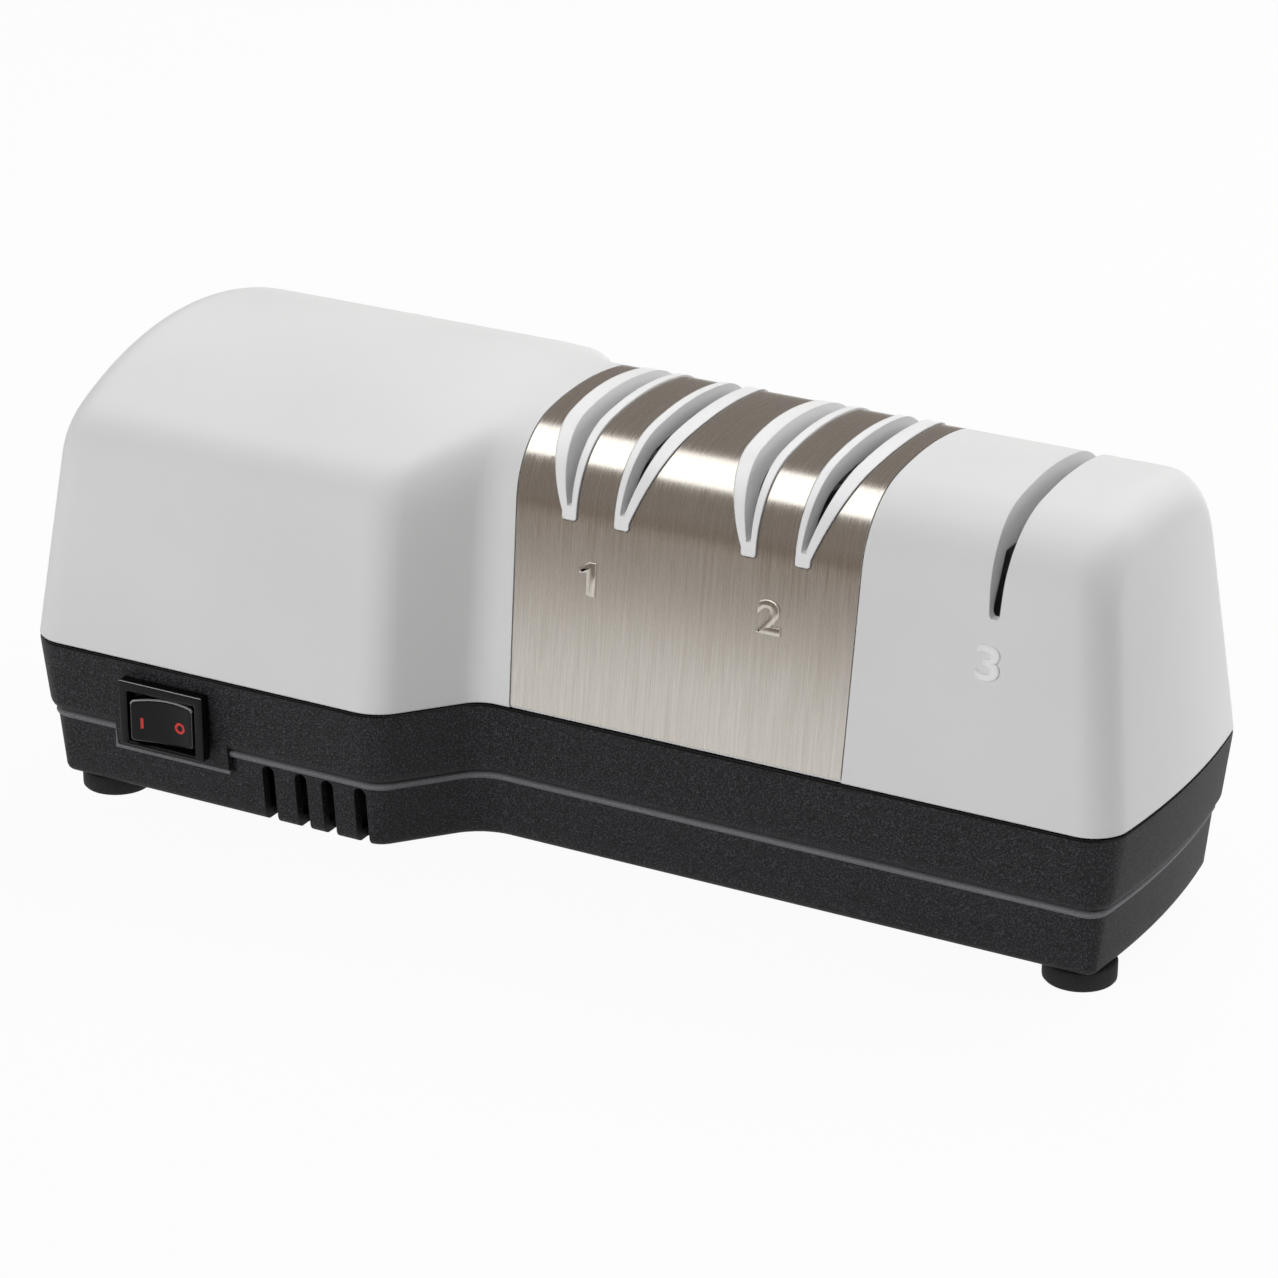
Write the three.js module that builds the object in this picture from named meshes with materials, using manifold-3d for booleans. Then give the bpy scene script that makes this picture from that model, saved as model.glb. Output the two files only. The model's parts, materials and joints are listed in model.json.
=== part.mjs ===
// Electric knife sharpener: two powered stages with paired grinding discs, and one hand stage
// with free wheels.
// Millimetres. +X runs from the motor end to the hand stage, -Y is the front, +Z is up,
// and the origin lies on the standing plane under the middle of the body.
import * as THREE from "three";
import { mergeVertices } from "three/addons/utils/BufferGeometryUtils.js";
import Module from "manifold-3d";

const wasm = await Module();
wasm.setup();
const degrees = THREE.MathUtils.degToRad;

// Clearances and cuts
const fitGap = 0.3;
const overrun = 3;
const weld = 0.001;
const sliver = 0.01;
const leastRadius = 1.2;

// Body seen from above, at the seam between cover and base
const halfLength = 144;
const motorHalfDepth = 60.5;
const stageHalfDepth = 39.9;
const endCornerRadius = 8;
const endBow = 3.2;
const waistStart = -45.5;
const waistAngle = degrees(50);
const waistOuterRadius = 12;
const waistInnerRadius = 9.5;

// Body seen from the end
const seamHeight = 42.9;
const motorTop = 114.8;
const stageTop = 113.5;
const motorCrownRadius = 98;
const stageCrownRadius = 94.6;
const motorShoulderRadius = 17;
const stageShoulderRadius = 20.7;
const sideDraft = degrees(6.7);
const endDraft = degrees(7.5);
const coverWall = 2.4;

// Black base: a drafted upper wall, a bevelled step and a drafted lower wall
const stepTop = 25.6;
const stepBottom = 22.2;
const stepTopInset = 2;
const stepBottomInset = 3.9;
const skirtBottom = 7.2;
const skirtInset = 5.4;
const baseBottom = 5.4;
const baseBottomInset = 7.4;
const baseWall = 2.5;
const floorThickness = 2.6;
const tongueHeight = 2.4;
const tongueThickness = 1.3;

// Metal plate over the powered stages
const plateLeft = -15.8;
const plateLeftMargin = 21.7;
const plateRightMargin = 22;
const plateTaper = 1.5;
const plateThickness = 0.6;
const plateLift = 0.8;

// Powered stages: each has two slots that lean away from the middle of the stage
const stagePitch = 47.3;
const rimProud = 0.35;
const rimDepth = 21.5;
const rimInnerOffset = 5.1;
const rimBottomRadius = 1.9;
const rimLean = Math.tan(degrees(21.6));
const rimWall = 5;
const slotDepth = 18.1;
const slotBottomRadius = 0.6;
const slotCentreOffset = 7.1;
const slotInnerLean = 0.05;
const slotOuterLean = 0.28;

// Hand stage: one upright slot with a liner under the roof
const handSetback = 35.6;
const handSlotDepth = 24.5;
const handSlotHalfWidth = 1.3;
const handSlotLean = 0.045;
const handSlotFlareDepth = 9.5;
const handSlotFlareLean = 0.07;
const handLinerWall = 1.8;
const handLinerDepth = 11.5;

// Shaft, bearings and motor
const shaftHeight = 68;
const shaftRadius = 4;
const shaftTail = 3;
const shaftNose = 2;
const stackSetback = 36;
const stackLength = 28;
const stackHalfWidth = 30;
const stackBelowShaft = 40;
const stackAboveShaft = 30;
const rotorRadius = 15.5;
const limbHeight = 12;
const windowHalfWidth = 20;
const windowHeight = 9.6;
const windingThickness = 7.6;
const bobbinWall = 1;
const bobbinFlange = 1.4;
const bobbinHalfLength = 18;
const bracketThickness = 3;
const bracketStandOff = 12;
const bracketHalfHeight = 9;
const hubRadius = 9;
const hubLength = 10;
const bearingRadius = 6.4;
const boltOffset = 25;
const boltRadius = 2;
const boltHeadRadius = 3.6;
const boltHeadHeight = 2.4;
const standOffRadius = 4.6;

// Cooling fan
const fanRadius = 32;
const fanHubRadius = 8;
const fanGap = 3;
const fanLength = 14;
const fanPlate = 1.8;
const bladeThickness = 1.5;
const bladeCount = 9;

// Grinding discs, their springs and drive pins
const discRadius = 29;
const discHubRadius = 8;
const discInnerOffset = 3.2;
const discRimOffset = 5.6;
const discConeRadius = 14;
const discConeAngle = degrees(22);
const discHubOffset = 13.6;
const discClearance = 1.5;
const springPocketDepth = 3;
const springRadius = 6;
const springWire = 0.9;
const springTurns = 4;
const pinRadius = 1.2;
const pinLength = 14;
const pinOffset = 11.9;

// Outboard bearing bracket
const endBracketOffset = 22.8;
const endBracketHalfWidth = 12;
const endBracketFootLength = 20;
const endBracketFootHeight = 3;
const endBracketBossRadius = 4;
const endBracketBossHeight = 6;

// Hand stage wheels
const handAxleDepth = 32;
const handAxleRadius = 1.5;
const handWheelRadius = 9.5;
const handWheelInnerRadius = 5.5;
const handWheelThickness = 4.2;
const handWheelGap = 0.8;
const carrierCheek = 2.5;
const carrierHalfDepth = 8;
const carrierFoot = 3;
const carrierTopMargin = 4.5;
const columnRadius = 7;

// Power switch and its rocker, on a flat pad of the front wall
const switchSetback = 43.9;
const switchHeight = 29.75;
const bezelWidth = 24.5;
const bezelHeight = 17.1;
const bezelProud = 2.5;
const switchBodyWidth = 21.8;
const switchBodyHeight = 15;
const switchDepth = 17;
const switchBackWall = 2;
const rockerWidth = 17.8;
const rockerHeight = 11.8;
const rockerHingeDepth = 3;
const rockerCornerRise = 3.5;
const rockerDish = 1;
const dishShare = 0.75;
const rockerBodyDepth = 5;
const rockerHalfSwing = degrees(9);
const rockerPinRadius = 1.2;
const rockerPinLength = 1;
const terminalThickness = 0.8;
const terminalWidth = 6.3;
const terminalLength = 7.5;
const terminalSpacing = 10;
const padBottom = 17.6;
const padLeftMargin = 16.9;
const padRightMargin = 16.1;

// Vents in the lower wall of the motor end
const ventOffset = 26.7;
const ventWidePitch = 9.4;
const ventNarrowPitch = 7.6;
const ventWidth = 3.5;
const ventTop = 21;

// Cord inlet bushing in the back wall
const inletSetback = 43.9;
const inletHeight = 34;
const inletBoreRadius = 3.6;
const inletNeckRadius = 5.2;
const inletFlangeRadius = 7.6;
const inletInnerFlange = 2;

// Hatch in the floor under the powered stages, with a magnet that holds the steel dust
const hatchLength = 66;
const hatchWidth = 40;
const hatchThickness = 2.2;
const hatchTab = 1.8;
const hatchTabWidth = 16;
const hatchTabHeight = 3.4;
const magnetLength = 50;
const magnetWidth = 12;
const magnetHeight = 4;

// Rubber feet
const footRadius = 8.8;
const footBevel = 1;
const footStemRadius = 2.5;
const footHeadRadius = 3.8;
const footHeadHeight = 1.4;
const footMotorSetback = 17.1;
const footFrontSetback = 15.1;
const footBackSetback = 28;
const footMotorInset = 15.9;
const footStageInset = 15.6;

// Screws that hold the cover to the base
const coverScrewMotorSetback = 12;
const coverScrewMotorSpread = 22;
const coverScrewWaistOffset = 11.5;
const coverScrewWaistInset = 13.2;
const coverScrewStageSetback = 13;
const screwShankRadius = 1.5;
const screwHeadRadius = 3.2;
const screwHeadHeight = 2.4;
const screwBite = 10;
const bossRadius = 5.4;
const postRadius = 4.4;
const counterboreHeight = 30;
const motorPostRadius = 4.6;
const motorScrewBite = 6;

const roundSteps = 12;
const shaftSteps = 16;
const discSteps = 28;
const springSteps = 8;
const wireSteps = 3;
const slotSteps = 4;
const pinSteps = 8;
const arcSteps = 4;
const waistSteps = 3;
const shoulderSteps = 5;
const crownSteps = 4;
const endShares = [1, 0.5, 0, -0.5, -1];

// Heights and places that follow from the sizes above
const leftEnd = -halfLength;
const rightEnd = halfLength;
const baseTop = seamHeight - fitGap;
const floorTop = baseBottom + floorThickness;
const cutTop = Math.max(motorTop, stageTop) + overrun;
const stageOneCentre = plateLeft + plateLeftMargin;
const stageTwoCentre = stageOneCentre + stagePitch;
const stageCentres = [stageOneCentre, stageTwoCentre];
const plateRight = stageTwoCentre + plateRightMargin;
const rimBottom = stageTop - rimDepth;
const slotBottom = stageTop - slotDepth;
const handCentre = rightEnd - handSetback;
const handSlotBottom = stageTop - handSlotDepth;
const handSlotFlareHeight = stageTop - handSlotFlareDepth;
const handAxleHeight = stageTop - handAxleDepth;
const endBracketCentre = stageTwoCentre + endBracketOffset;
const stackLeft = leftEnd + stackSetback;
const stackRight = stackLeft + stackLength;
const stackBottom = shaftHeight - stackBelowShaft;
const stackTop = shaftHeight + stackAboveShaft;
const switchCentre = leftEnd + switchSetback;
const padLeft = switchCentre - padLeftMargin;
const padRight = switchCentre + padRightMargin;
const ventFirst = switchCentre + ventOffset;
const inletCentre = leftEnd + inletSetback;
const coverScrewMotor = leftEnd + coverScrewMotorSetback;
const coverScrewWaist = waistStart + coverScrewWaistOffset;
const coverScrewWaistSpread = (motorHalfDepth + stageHalfDepth) / 2 - coverScrewWaistInset;
const coverScrewStage = rightEnd - coverScrewStageSetback;
const motorFront = -motorHalfDepth;
const bezelFront = motorFront - bezelProud;
const hingeDepth = bezelFront + rockerHingeDepth;
const rockerHalfWidth = rockerWidth / 2;
const rockerReach =
  rockerCornerRise * Math.cos(rockerHalfSwing) + rockerHalfWidth * Math.sin(rockerHalfSwing);
const inletBack = rockerReach - hingeDepth;
const frontBracketPlate = stackRight + bracketStandOff;
const rearBracketPlate = stackLeft - bracketStandOff - bracketThickness;
const shaftLeft = rearBracketPlate - shaftTail;
const shaftRight = endBracketCentre + hubLength / 2 + shaftNose;
const fanLeft = frontBracketPlate + bracketThickness + fanGap;
const columnTop = handAxleHeight - handWheelRadius - screwHeadHeight - carrierFoot - 3 * fitGap;

const finishes = {
  whitePlastic: { color: 0xd9d9da, roughness: 0.45, metalness: 0 },
  blackPlastic: { color: 0x2b292b, roughness: 0.6, metalness: 0 },
  glossBlack: { color: 0x1a1a1c, roughness: 0.25, metalness: 0 },
  rubber: { color: 0x1d1d1d, roughness: 0.9, metalness: 0 },
  brushedSteel: { color: 0xa89f94, roughness: 0.35, metalness: 1 },
  steel: { color: 0x9a9da1, roughness: 0.3, metalness: 1 },
  laminations: { color: 0x5f6164, roughness: 0.55, metalness: 1 },
  aluminium: { color: 0xb9bcc0, roughness: 0.4, metalness: 1 },
  bronze: { color: 0x9c6b38, roughness: 0.4, metalness: 1 },
  copper: { color: 0xb0562c, roughness: 0.35, metalness: 1 },
  brass: { color: 0xc8a24b, roughness: 0.35, metalness: 1 },
  abrasive: { color: 0x8c8f8e, roughness: 0.8, metalness: 0.4 },
  ferrite: { color: 0x3a3a3d, roughness: 0.7, metalness: 0.2 },
  bobbinNylon: { color: 0xe4dfd0, roughness: 0.5, metalness: 0 },
};

// Geometry to solid and back

function solid(geometry) {
  const bare = geometry.index ? geometry.toNonIndexed() : geometry.clone();
  bare.deleteAttribute("normal");
  bare.deleteAttribute("uv");
  const merged = mergeVertices(bare, weld);
  const corners = merged.index.array;
  const kept = [];
  for (let i = 0; i < corners.length; i += 3) {
    const [a, b, c] = corners.slice(i, i + 3);
    if (a !== b && b !== c && a !== c) kept.push(a, b, c);
  }
  const make = (triVerts) =>
    new wasm.Manifold(
      new wasm.Mesh({
        numProp: 3,
        vertProperties: merged.attributes.position.array,
        triVerts: new Uint32Array(triVerts),
      }),
    );
  const made = make(kept);
  return made.volume() < 0 ? make(kept.reverse()) : made;
}

function geometryOf(body) {
  const mesh = body.asOriginal().simplify(sliver).getMesh();
  const geometry = new THREE.BufferGeometry();
  geometry.setAttribute("position", new THREE.BufferAttribute(mesh.vertProperties, mesh.numProp));
  geometry.setIndex(new THREE.BufferAttribute(mesh.triVerts, 1));
  const flat = geometry.toNonIndexed();
  flat.computeVertexNormals();
  return flat;
}

const join = (bodies) => bodies.reduce((whole, body) => whole.add(body));
const cut = (body, tools) => tools.reduce((rest, tool) => rest.subtract(tool), body);

// Simple shapes

const turns = {
  x: (geometry) => geometry.rotateZ(-Math.PI / 2),
  y: (geometry) => geometry,
  z: (geometry) => geometry.rotateX(Math.PI / 2),
};

function block(x, y, z) {
  const sizes = [x, y, z].map(([low, high]) => high - low);
  const middles = [x, y, z].map(([low, high]) => (low + high) / 2);
  return solid(new THREE.BoxGeometry(...sizes).translate(...middles));
}

// A bar along an axis, from one place on it to another, through the given centre.
function bar(axis, radius, from, to, centre, steps = roundSteps) {
  const geometry = turns[axis](new THREE.CylinderGeometry(radius, radius, to - from, steps));
  const place = { ...centre, [axis]: (from + to) / 2 };
  return solid(geometry.translate(place.x ?? 0, place.y ?? 0, place.z ?? 0));
}

// A body turned round an axis: the profile is a list of [radius, place along the axis].
function turned(axis, profile, centre, steps = roundSteps) {
  const points = profile.map(([radius, along]) => new THREE.Vector2(radius, along));
  const geometry = turns[axis](new THREE.LatheGeometry([...points, points[0]], steps));
  return solid(geometry.translate(centre.x ?? 0, centre.y ?? 0, centre.z ?? 0));
}

// A straight prism along an axis; its outline lies in the other two axes, in x, y, z order.
function prism(axis, outline, from, to) {
  const shape = new THREE.Shape(outline.map(([u, v]) => new THREE.Vector2(u, v)));
  const geometry = new THREE.ExtrudeGeometry(shape, { depth: to - from, bevelEnabled: false });
  geometry.translate(0, 0, from);
  const x = new THREE.Vector3(1, 0, 0);
  const y = new THREE.Vector3(0, 1, 0);
  const z = new THREE.Vector3(0, 0, 1);
  const bases = { x: [y, z, x], y: [x, z, y], z: [x, y, z] };
  return solid(geometry.applyMatrix4(new THREE.Matrix4().makeBasis(...bases[axis])));
}

function soup(triangles) {
  return solid(new THREE.BufferGeometry().setFromPoints(triangles));
}

// The four sides between two rings of points, as triangles.
function bridge(lower, upper, triangles) {
  lower.forEach((a, i) => {
    const next = (i + 1) % lower.length;
    triangles.push(a, lower[next], upper[next], a, upper[next], upper[i]);
  });
}

// Outline of the body from above

function waistOutline(inset) {
  const drop = motorHalfDepth - stageHalfDepth;
  const bend = (waistOuterRadius + waistInnerRadius) * (1 - Math.cos(waistAngle));
  const slope = (drop - bend) / Math.sin(waistAngle);
  const waistLength =
    (waistOuterRadius + waistInnerRadius) * Math.sin(waistAngle) + slope * Math.cos(waistAngle);
  const waistEnd = waistStart + waistLength;
  const outer = waistOuterRadius - inset;
  const inner = waistInnerRadius + inset;
  const points = [];
  for (let i = 0; i <= waistSteps; i++) {
    const turn = (waistAngle * i) / waistSteps;
    points.push([
      waistStart + outer * Math.sin(turn),
      motorHalfDepth - waistOuterRadius + outer * Math.cos(turn),
    ]);
  }
  for (let i = waistSteps; i >= 0; i--) {
    const turn = (waistAngle * i) / waistSteps;
    points.push([
      waistEnd - inner * Math.sin(turn),
      stageHalfDepth + waistInnerRadius - inner * Math.cos(turn),
    ]);
  }
  return points;
}

// Rounding at an end: how far along the body and how far in from the side each station lies.
function endStations(inset) {
  const radius = Math.max(endCornerRadius - inset, leastRadius);
  const reach = halfLength - inset;
  return Array.from({ length: arcSteps + 1 }, (_, i) => {
    const turn = (Math.PI / 2) * (i / arcSteps);
    return { x: reach - radius + radius * Math.cos(turn), edge: radius * (1 - Math.sin(turn)) };
  });
}

const bowAt = (y, halfDepth) => endBow * (y / halfDepth) ** 2;

function planOutline(inset) {
  const end = (halfDepth) => {
    const stations = endStations(inset);
    const half = halfDepth - inset;
    const face = endShares
      .filter((share) => share >= 0 && share < 1)
      .reverse()
      .map((share) => [stations[0].x, (half - stations[0].edge) * share]);
    const corner = stations.map(({ x, edge }) => [x, half - edge]);
    return [...face, ...corner].map(([x, y]) => [x - bowAt(y, halfDepth), y]);
  };
  const left = end(motorHalfDepth).map(([x, y]) => [-x, y]);
  const right = end(stageHalfDepth).reverse();
  const back = [...left, ...waistOutline(inset), ...right];
  const front = back.slice(1, -1).map(([x, y]) => [x, -y]);
  return [...front, ...back.reverse()];
}

// A body stacked from level outlines, from the lowest up: [height, inset] each.
function stack(levels) {
  const rings = levels.map(([height, inset]) =>
    planOutline(inset).map(([x, y]) => new THREE.Vector3(x, y, height)),
  );
  const triangles = [];
  rings.slice(1).forEach((ring, i) => bridge(rings[i], ring, triangles));
  const cap = (ring, flip) => {
    const contour = ring.map((point) => new THREE.Vector2(point.x, point.y));
    THREE.ShapeUtils.triangulateShape(contour, []).forEach((corners) => {
      const [a, b, c] = corners.map((i) => ring[i]);
      triangles.push(a, ...(flip ? [c, b] : [b, c]));
    });
  };
  cap(rings[0], true);
  cap(rings[rings.length - 1], false);
  return soup(triangles);
}

// Sections of the cover

// Half of a section, from the foot of the side over the shoulder to the middle of the crown.
function halfSection(halfDepth, top, crownRadius, shoulderRadius, foot) {
  const crownCentre = new THREE.Vector2(0, top - crownRadius);
  const up = new THREE.Vector2(-Math.sin(sideDraft), Math.cos(sideDraft));
  const out = new THREE.Vector2(Math.cos(sideDraft), Math.sin(sideDraft));
  const start = new THREE.Vector2(halfDepth, seamHeight);
  const offset = start.clone().addScaledVector(out, -shoulderRadius).sub(crownCentre);
  const along = offset.dot(up);
  const rest = offset.lengthSq() - (crownRadius - shoulderRadius) ** 2;
  const climb = -along + Math.sqrt(along * along - rest);
  const shoulderCentre = start
    .clone()
    .addScaledVector(out, -shoulderRadius)
    .addScaledVector(up, climb);
  const meet = shoulderCentre.clone().sub(crownCentre).angle();
  const points = [start.clone().addScaledVector(up, -foot / Math.cos(sideDraft))];
  const arc = (centre, radius, from, to, steps, first) => {
    for (let i = first; i <= steps; i++) {
      const turn = from + ((to - from) * i) / steps;
      const spoke = new THREE.Vector2(Math.cos(turn), Math.sin(turn));
      points.push(centre.clone().addScaledVector(spoke, radius));
    }
  };
  arc(shoulderCentre, shoulderRadius, sideDraft, meet, shoulderSteps, 0);
  arc(crownCentre, crownRadius, meet, Math.PI / 2, crownSteps, 1);
  return points;
}

const mix = (stage, motor, share) => stage + (motor - stage) * share;

// The whole body above the seam, drawn in by an inset and started below the seam by a foot.
function envelope(inset, foot = 0) {
  const shifted = (x, y, z, side, halfDepth) => {
    const lean = (z - seamHeight) * Math.tan(endDraft);
    return new THREE.Vector3(x - side * (bowAt(y, halfDepth) + lean), y, z);
  };
  const station = (x, half, edge, share, side) => {
    const fullDepth = mix(stageHalfDepth, motorHalfDepth, share);
    const shoulder = mix(stageShoulderRadius, motorShoulderRadius, share) - inset - edge;
    const section = halfSection(
      half,
      mix(stageTop, motorTop, share) - inset - edge,
      mix(stageCrownRadius, motorCrownRadius, share) - inset - edge,
      Math.max(shoulder, leastRadius),
      foot,
    );
    const place = (y, z) => shifted(x, y, z, side, fullDepth);
    const front = section.map((point) => place(-point.x, point.y));
    const back = section.slice(0, -1).map((point) => place(point.x, point.y));
    return { ring: [...front, ...back.reverse()], section, place };
  };
  const left = endStations(inset).map(({ x, edge }) =>
    station(-x, motorHalfDepth - inset - edge, edge, 1, -1),
  );
  const middle = waistOutline(inset).map(([x, half]) => {
    const share = (half + inset - stageHalfDepth) / (motorHalfDepth - stageHalfDepth);
    return station(x, half, 0, share, 0);
  });
  const right = endStations(inset)
    .reverse()
    .map(({ x, edge }) => station(x, stageHalfDepth - inset - edge, edge, 0, 1));
  const stations = [...left, ...middle, ...right];
  const triangles = [];
  stations.slice(1).forEach(({ ring }, i) => bridge(stations[i].ring, ring, triangles));
  const endFace = ({ section, place }, flip) => {
    const rows = section.map((point) => endShares.map((share) => place(-point.x * share, point.y)));
    const add = (a, b, c) => triangles.push(a, ...(flip ? [c, b] : [b, c]));
    rows.slice(1).forEach((upper, i) => {
      const lower = rows[i];
      upper.slice(1).forEach((corner, j) => {
        add(lower[j], corner, lower[j + 1]);
        add(lower[j], upper[j], corner);
      });
    });
    const [first, ...others] = rows[0];
    others.slice(1).forEach((point, j) => add(first, others[j], point));
  };
  endFace(stations[0], true);
  endFace(stations[stations.length - 1], false);
  return soup(triangles);
}

// Slots of the powered stages

// The outline of a slot's rim or opening, out from the middle of its stage on one side.
function slotOutline(centre, side, { middle, bottom, radius, innerLean, outerLean, grow }) {
  const points = [];
  const low = bottom + radius;
  for (let i = 0; i <= slotSteps; i++) {
    const turn = Math.PI + (Math.PI * i) / slotSteps;
    points.push([middle + (radius + grow) * Math.cos(turn), low + (radius + grow) * Math.sin(turn)]);
  }
  const rise = cutTop - low;
  points.push([middle + radius + grow + rise * outerLean, cutTop]);
  points.push([middle - radius - grow + rise * innerLean, cutTop]);
  return points.map(([offset, height]) => [centre + side * offset, height]);
}

const rimShape = (grow) => ({
  middle: rimInnerOffset + rimBottomRadius,
  bottom: rimBottom,
  radius: rimBottomRadius,
  innerLean: 0,
  outerLean: rimLean,
  grow,
});
const openingShape = {
  middle: slotCentreOffset,
  bottom: slotBottom,
  radius: slotBottomRadius,
  innerLean: slotInnerLean,
  outerLean: slotOuterLean,
  grow: 0,
};
const acrossBody = motorHalfDepth + overrun;

// One prism for each of the four powered slots.
function slotPrisms(shape) {
  return stageCentres.flatMap((centre) =>
    [-1, 1].map((side) => prism("y", slotOutline(centre, side, shape), -acrossBody, acrossBody)),
  );
}

function handSlotOutline(bottom, grow) {
  const flareWidth = handSlotHalfWidth + (handSlotFlareHeight - handSlotBottom) * handSlotLean;
  const topWidth = flareWidth + (cutTop - handSlotFlareHeight) * handSlotFlareLean;
  const right = [
    [handSlotHalfWidth / 2 + grow, bottom],
    [handSlotHalfWidth + grow, bottom + handSlotHalfWidth],
    [flareWidth + grow, handSlotFlareHeight],
    [topWidth + grow, cutTop],
  ];
  const left = right.map(([offset, height]) => [-offset, height]).reverse();
  return [...right, ...left].map(([offset, height]) => [handCentre + offset, height]);
}

// Plate outline from the front; its sides close in a little towards the seam.
function plateZone(grow, bottom) {
  const taperPerHeight = plateTaper / (stageTop - seamHeight);
  const side = (edge, direction, height) =>
    edge + direction * (grow - (stageTop - height) * taperPerHeight);
  const outline = [
    [side(plateLeft, -1, bottom), bottom],
    [side(plateRight, 1, bottom), bottom],
    [side(plateRight, 1, cutTop), cutTop],
    [side(plateLeft, -1, cutTop), cutTop],
  ];
  return prism("y", outline, -acrossBody, acrossBody);
}

const coverScrews = [
  { name: "motor_front", x: coverScrewMotor, y: -coverScrewMotorSpread },
  { name: "motor_back", x: coverScrewMotor, y: coverScrewMotorSpread },
  { name: "waist_front", x: coverScrewWaist, y: -coverScrewWaistSpread },
  { name: "waist_back", x: coverScrewWaist, y: coverScrewWaistSpread },
  { name: "stage_end", x: coverScrewStage, y: 0 },
];
const shaftAxis = { y: 0, z: shaftHeight };
const handAxis = { y: 0, z: handAxleHeight };
const screwTip = baseTop + screwBite;
const postBottom = baseTop + fitGap;

function makeTopCover() {
  const recess = plateThickness + fitGap;
  const recessZone = plateZone(fitGap, seamHeight - overrun);
  const outer = envelope(0).subtract(recessZone.subtract(envelope(recess, overrun)));
  const rimSkin = envelope(-rimProud).subtract(envelope(rimWall, overrun));
  const rims = slotPrisms(rimShape(0)).map((rim) => rim.intersect(rimSkin));
  const underRoof = block(
    [leftEnd - overrun, rightEnd + overrun],
    [-acrossBody, acrossBody],
    [stageTop - handLinerDepth, cutTop],
  );
  const handLiner = prism(
    "y",
    handSlotOutline(handSlotBottom - handLinerWall, handLinerWall),
    -acrossBody,
    acrossBody,
  ).intersect(envelope(0).intersect(underRoof));
  const posts = coverScrews.map(({ x, y }) =>
    bar("z", postRadius, postBottom, cutTop, { x, y }).intersect(envelope(coverWall / 2)),
  );
  const shell = outer.subtract(envelope(coverWall, overrun));
  const discRoom = stageCentres.map((centre) =>
    bar(
      "x",
      discRadius + discClearance,
      centre - discHubOffset - discClearance,
      centre + discHubOffset + discClearance,
      shaftAxis,
      discSteps,
    ),
  );
  const handRoom = bar(
    "x",
    handWheelRadius + discClearance,
    handCentre - handWheelThickness - discClearance,
    handCentre + handWheelThickness + discClearance,
    handAxis,
  );
  const pilots = coverScrews.map(({ x, y }) =>
    bar("z", screwShankRadius + fitGap, seamHeight - overrun, screwTip + overrun, { x, y }),
  );
  const handSlot = prism(
    "y",
    handSlotOutline(handSlotBottom, 0),
    -acrossBody,
    acrossBody,
  );
  return cut(join([shell, ...rims, handLiner, ...posts]), [
    ...slotPrisms(openingShape),
    ...discRoom,
    handRoom,
    handSlot,
    ...pilots,
  ]);
}

function makePlate() {
  const skin = envelope(0).subtract(envelope(plateThickness, overrun));
  const sheet = skin.intersect(plateZone(0, seamHeight + plateLift));
  return cut(sheet, slotPrisms(rimShape(fitGap)));
}

// Base

const hatchCentre = (stageOneCentre + stageTwoCentre) / 2;
const footMotorSpread = motorHalfDepth - footMotorInset;
const footStageSpread = stageHalfDepth - footStageInset;
const feet = [
  { name: "foot_motor_front", x: leftEnd + footMotorSetback, y: -footMotorSpread },
  { name: "foot_motor_back", x: leftEnd + footMotorSetback, y: footMotorSpread },
  { name: "foot_stage_front", x: rightEnd - footFrontSetback, y: -footStageSpread },
  { name: "foot_stage_back", x: rightEnd - footBackSetback, y: footStageSpread },
];
const stackMiddle = (stackLeft + stackRight) / 2;
const motorScrews = [-1, 1].map((side) => ({ x: stackMiddle, y: side * boltOffset }));
const endBracketScrews = [-1, 1].map((side) => ({
  x: endBracketCentre + endBracketFootLength / 4,
  y: side * (endBracketHalfWidth - endBracketBossRadius),
}));
const upperSlope = stepTopInset / (seamHeight - stepTop);
const upperWall = (outset) =>
  stack([
    [padBottom, (seamHeight - padBottom) * upperSlope - outset],
    [seamHeight, -outset],
  ]);

function ventPlaces() {
  const pitches = [ventWidePitch, ventNarrowPitch, ventWidePitch];
  return pitches.reduce((places, pitch) => [...places, places[places.length - 1] + pitch], [ventFirst]);
}

function ventCutters() {
  const half = ventWidth / 2;
  return ventPlaces().flatMap((x) =>
    [-1, 1].map((side) => {
      const reach = [side * (motorHalfDepth + overrun), side * (motorHalfDepth - skirtInset - 2 * baseWall)];
      const depth = reach.sort((a, b) => a - b);
      const slit = block([x - half, x + half], depth, [baseBottom - overrun, ventTop - half]);
      return slit.add(bar("y", half, ...depth, { x, z: ventTop - half }));
    }),
  );
}

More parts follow.
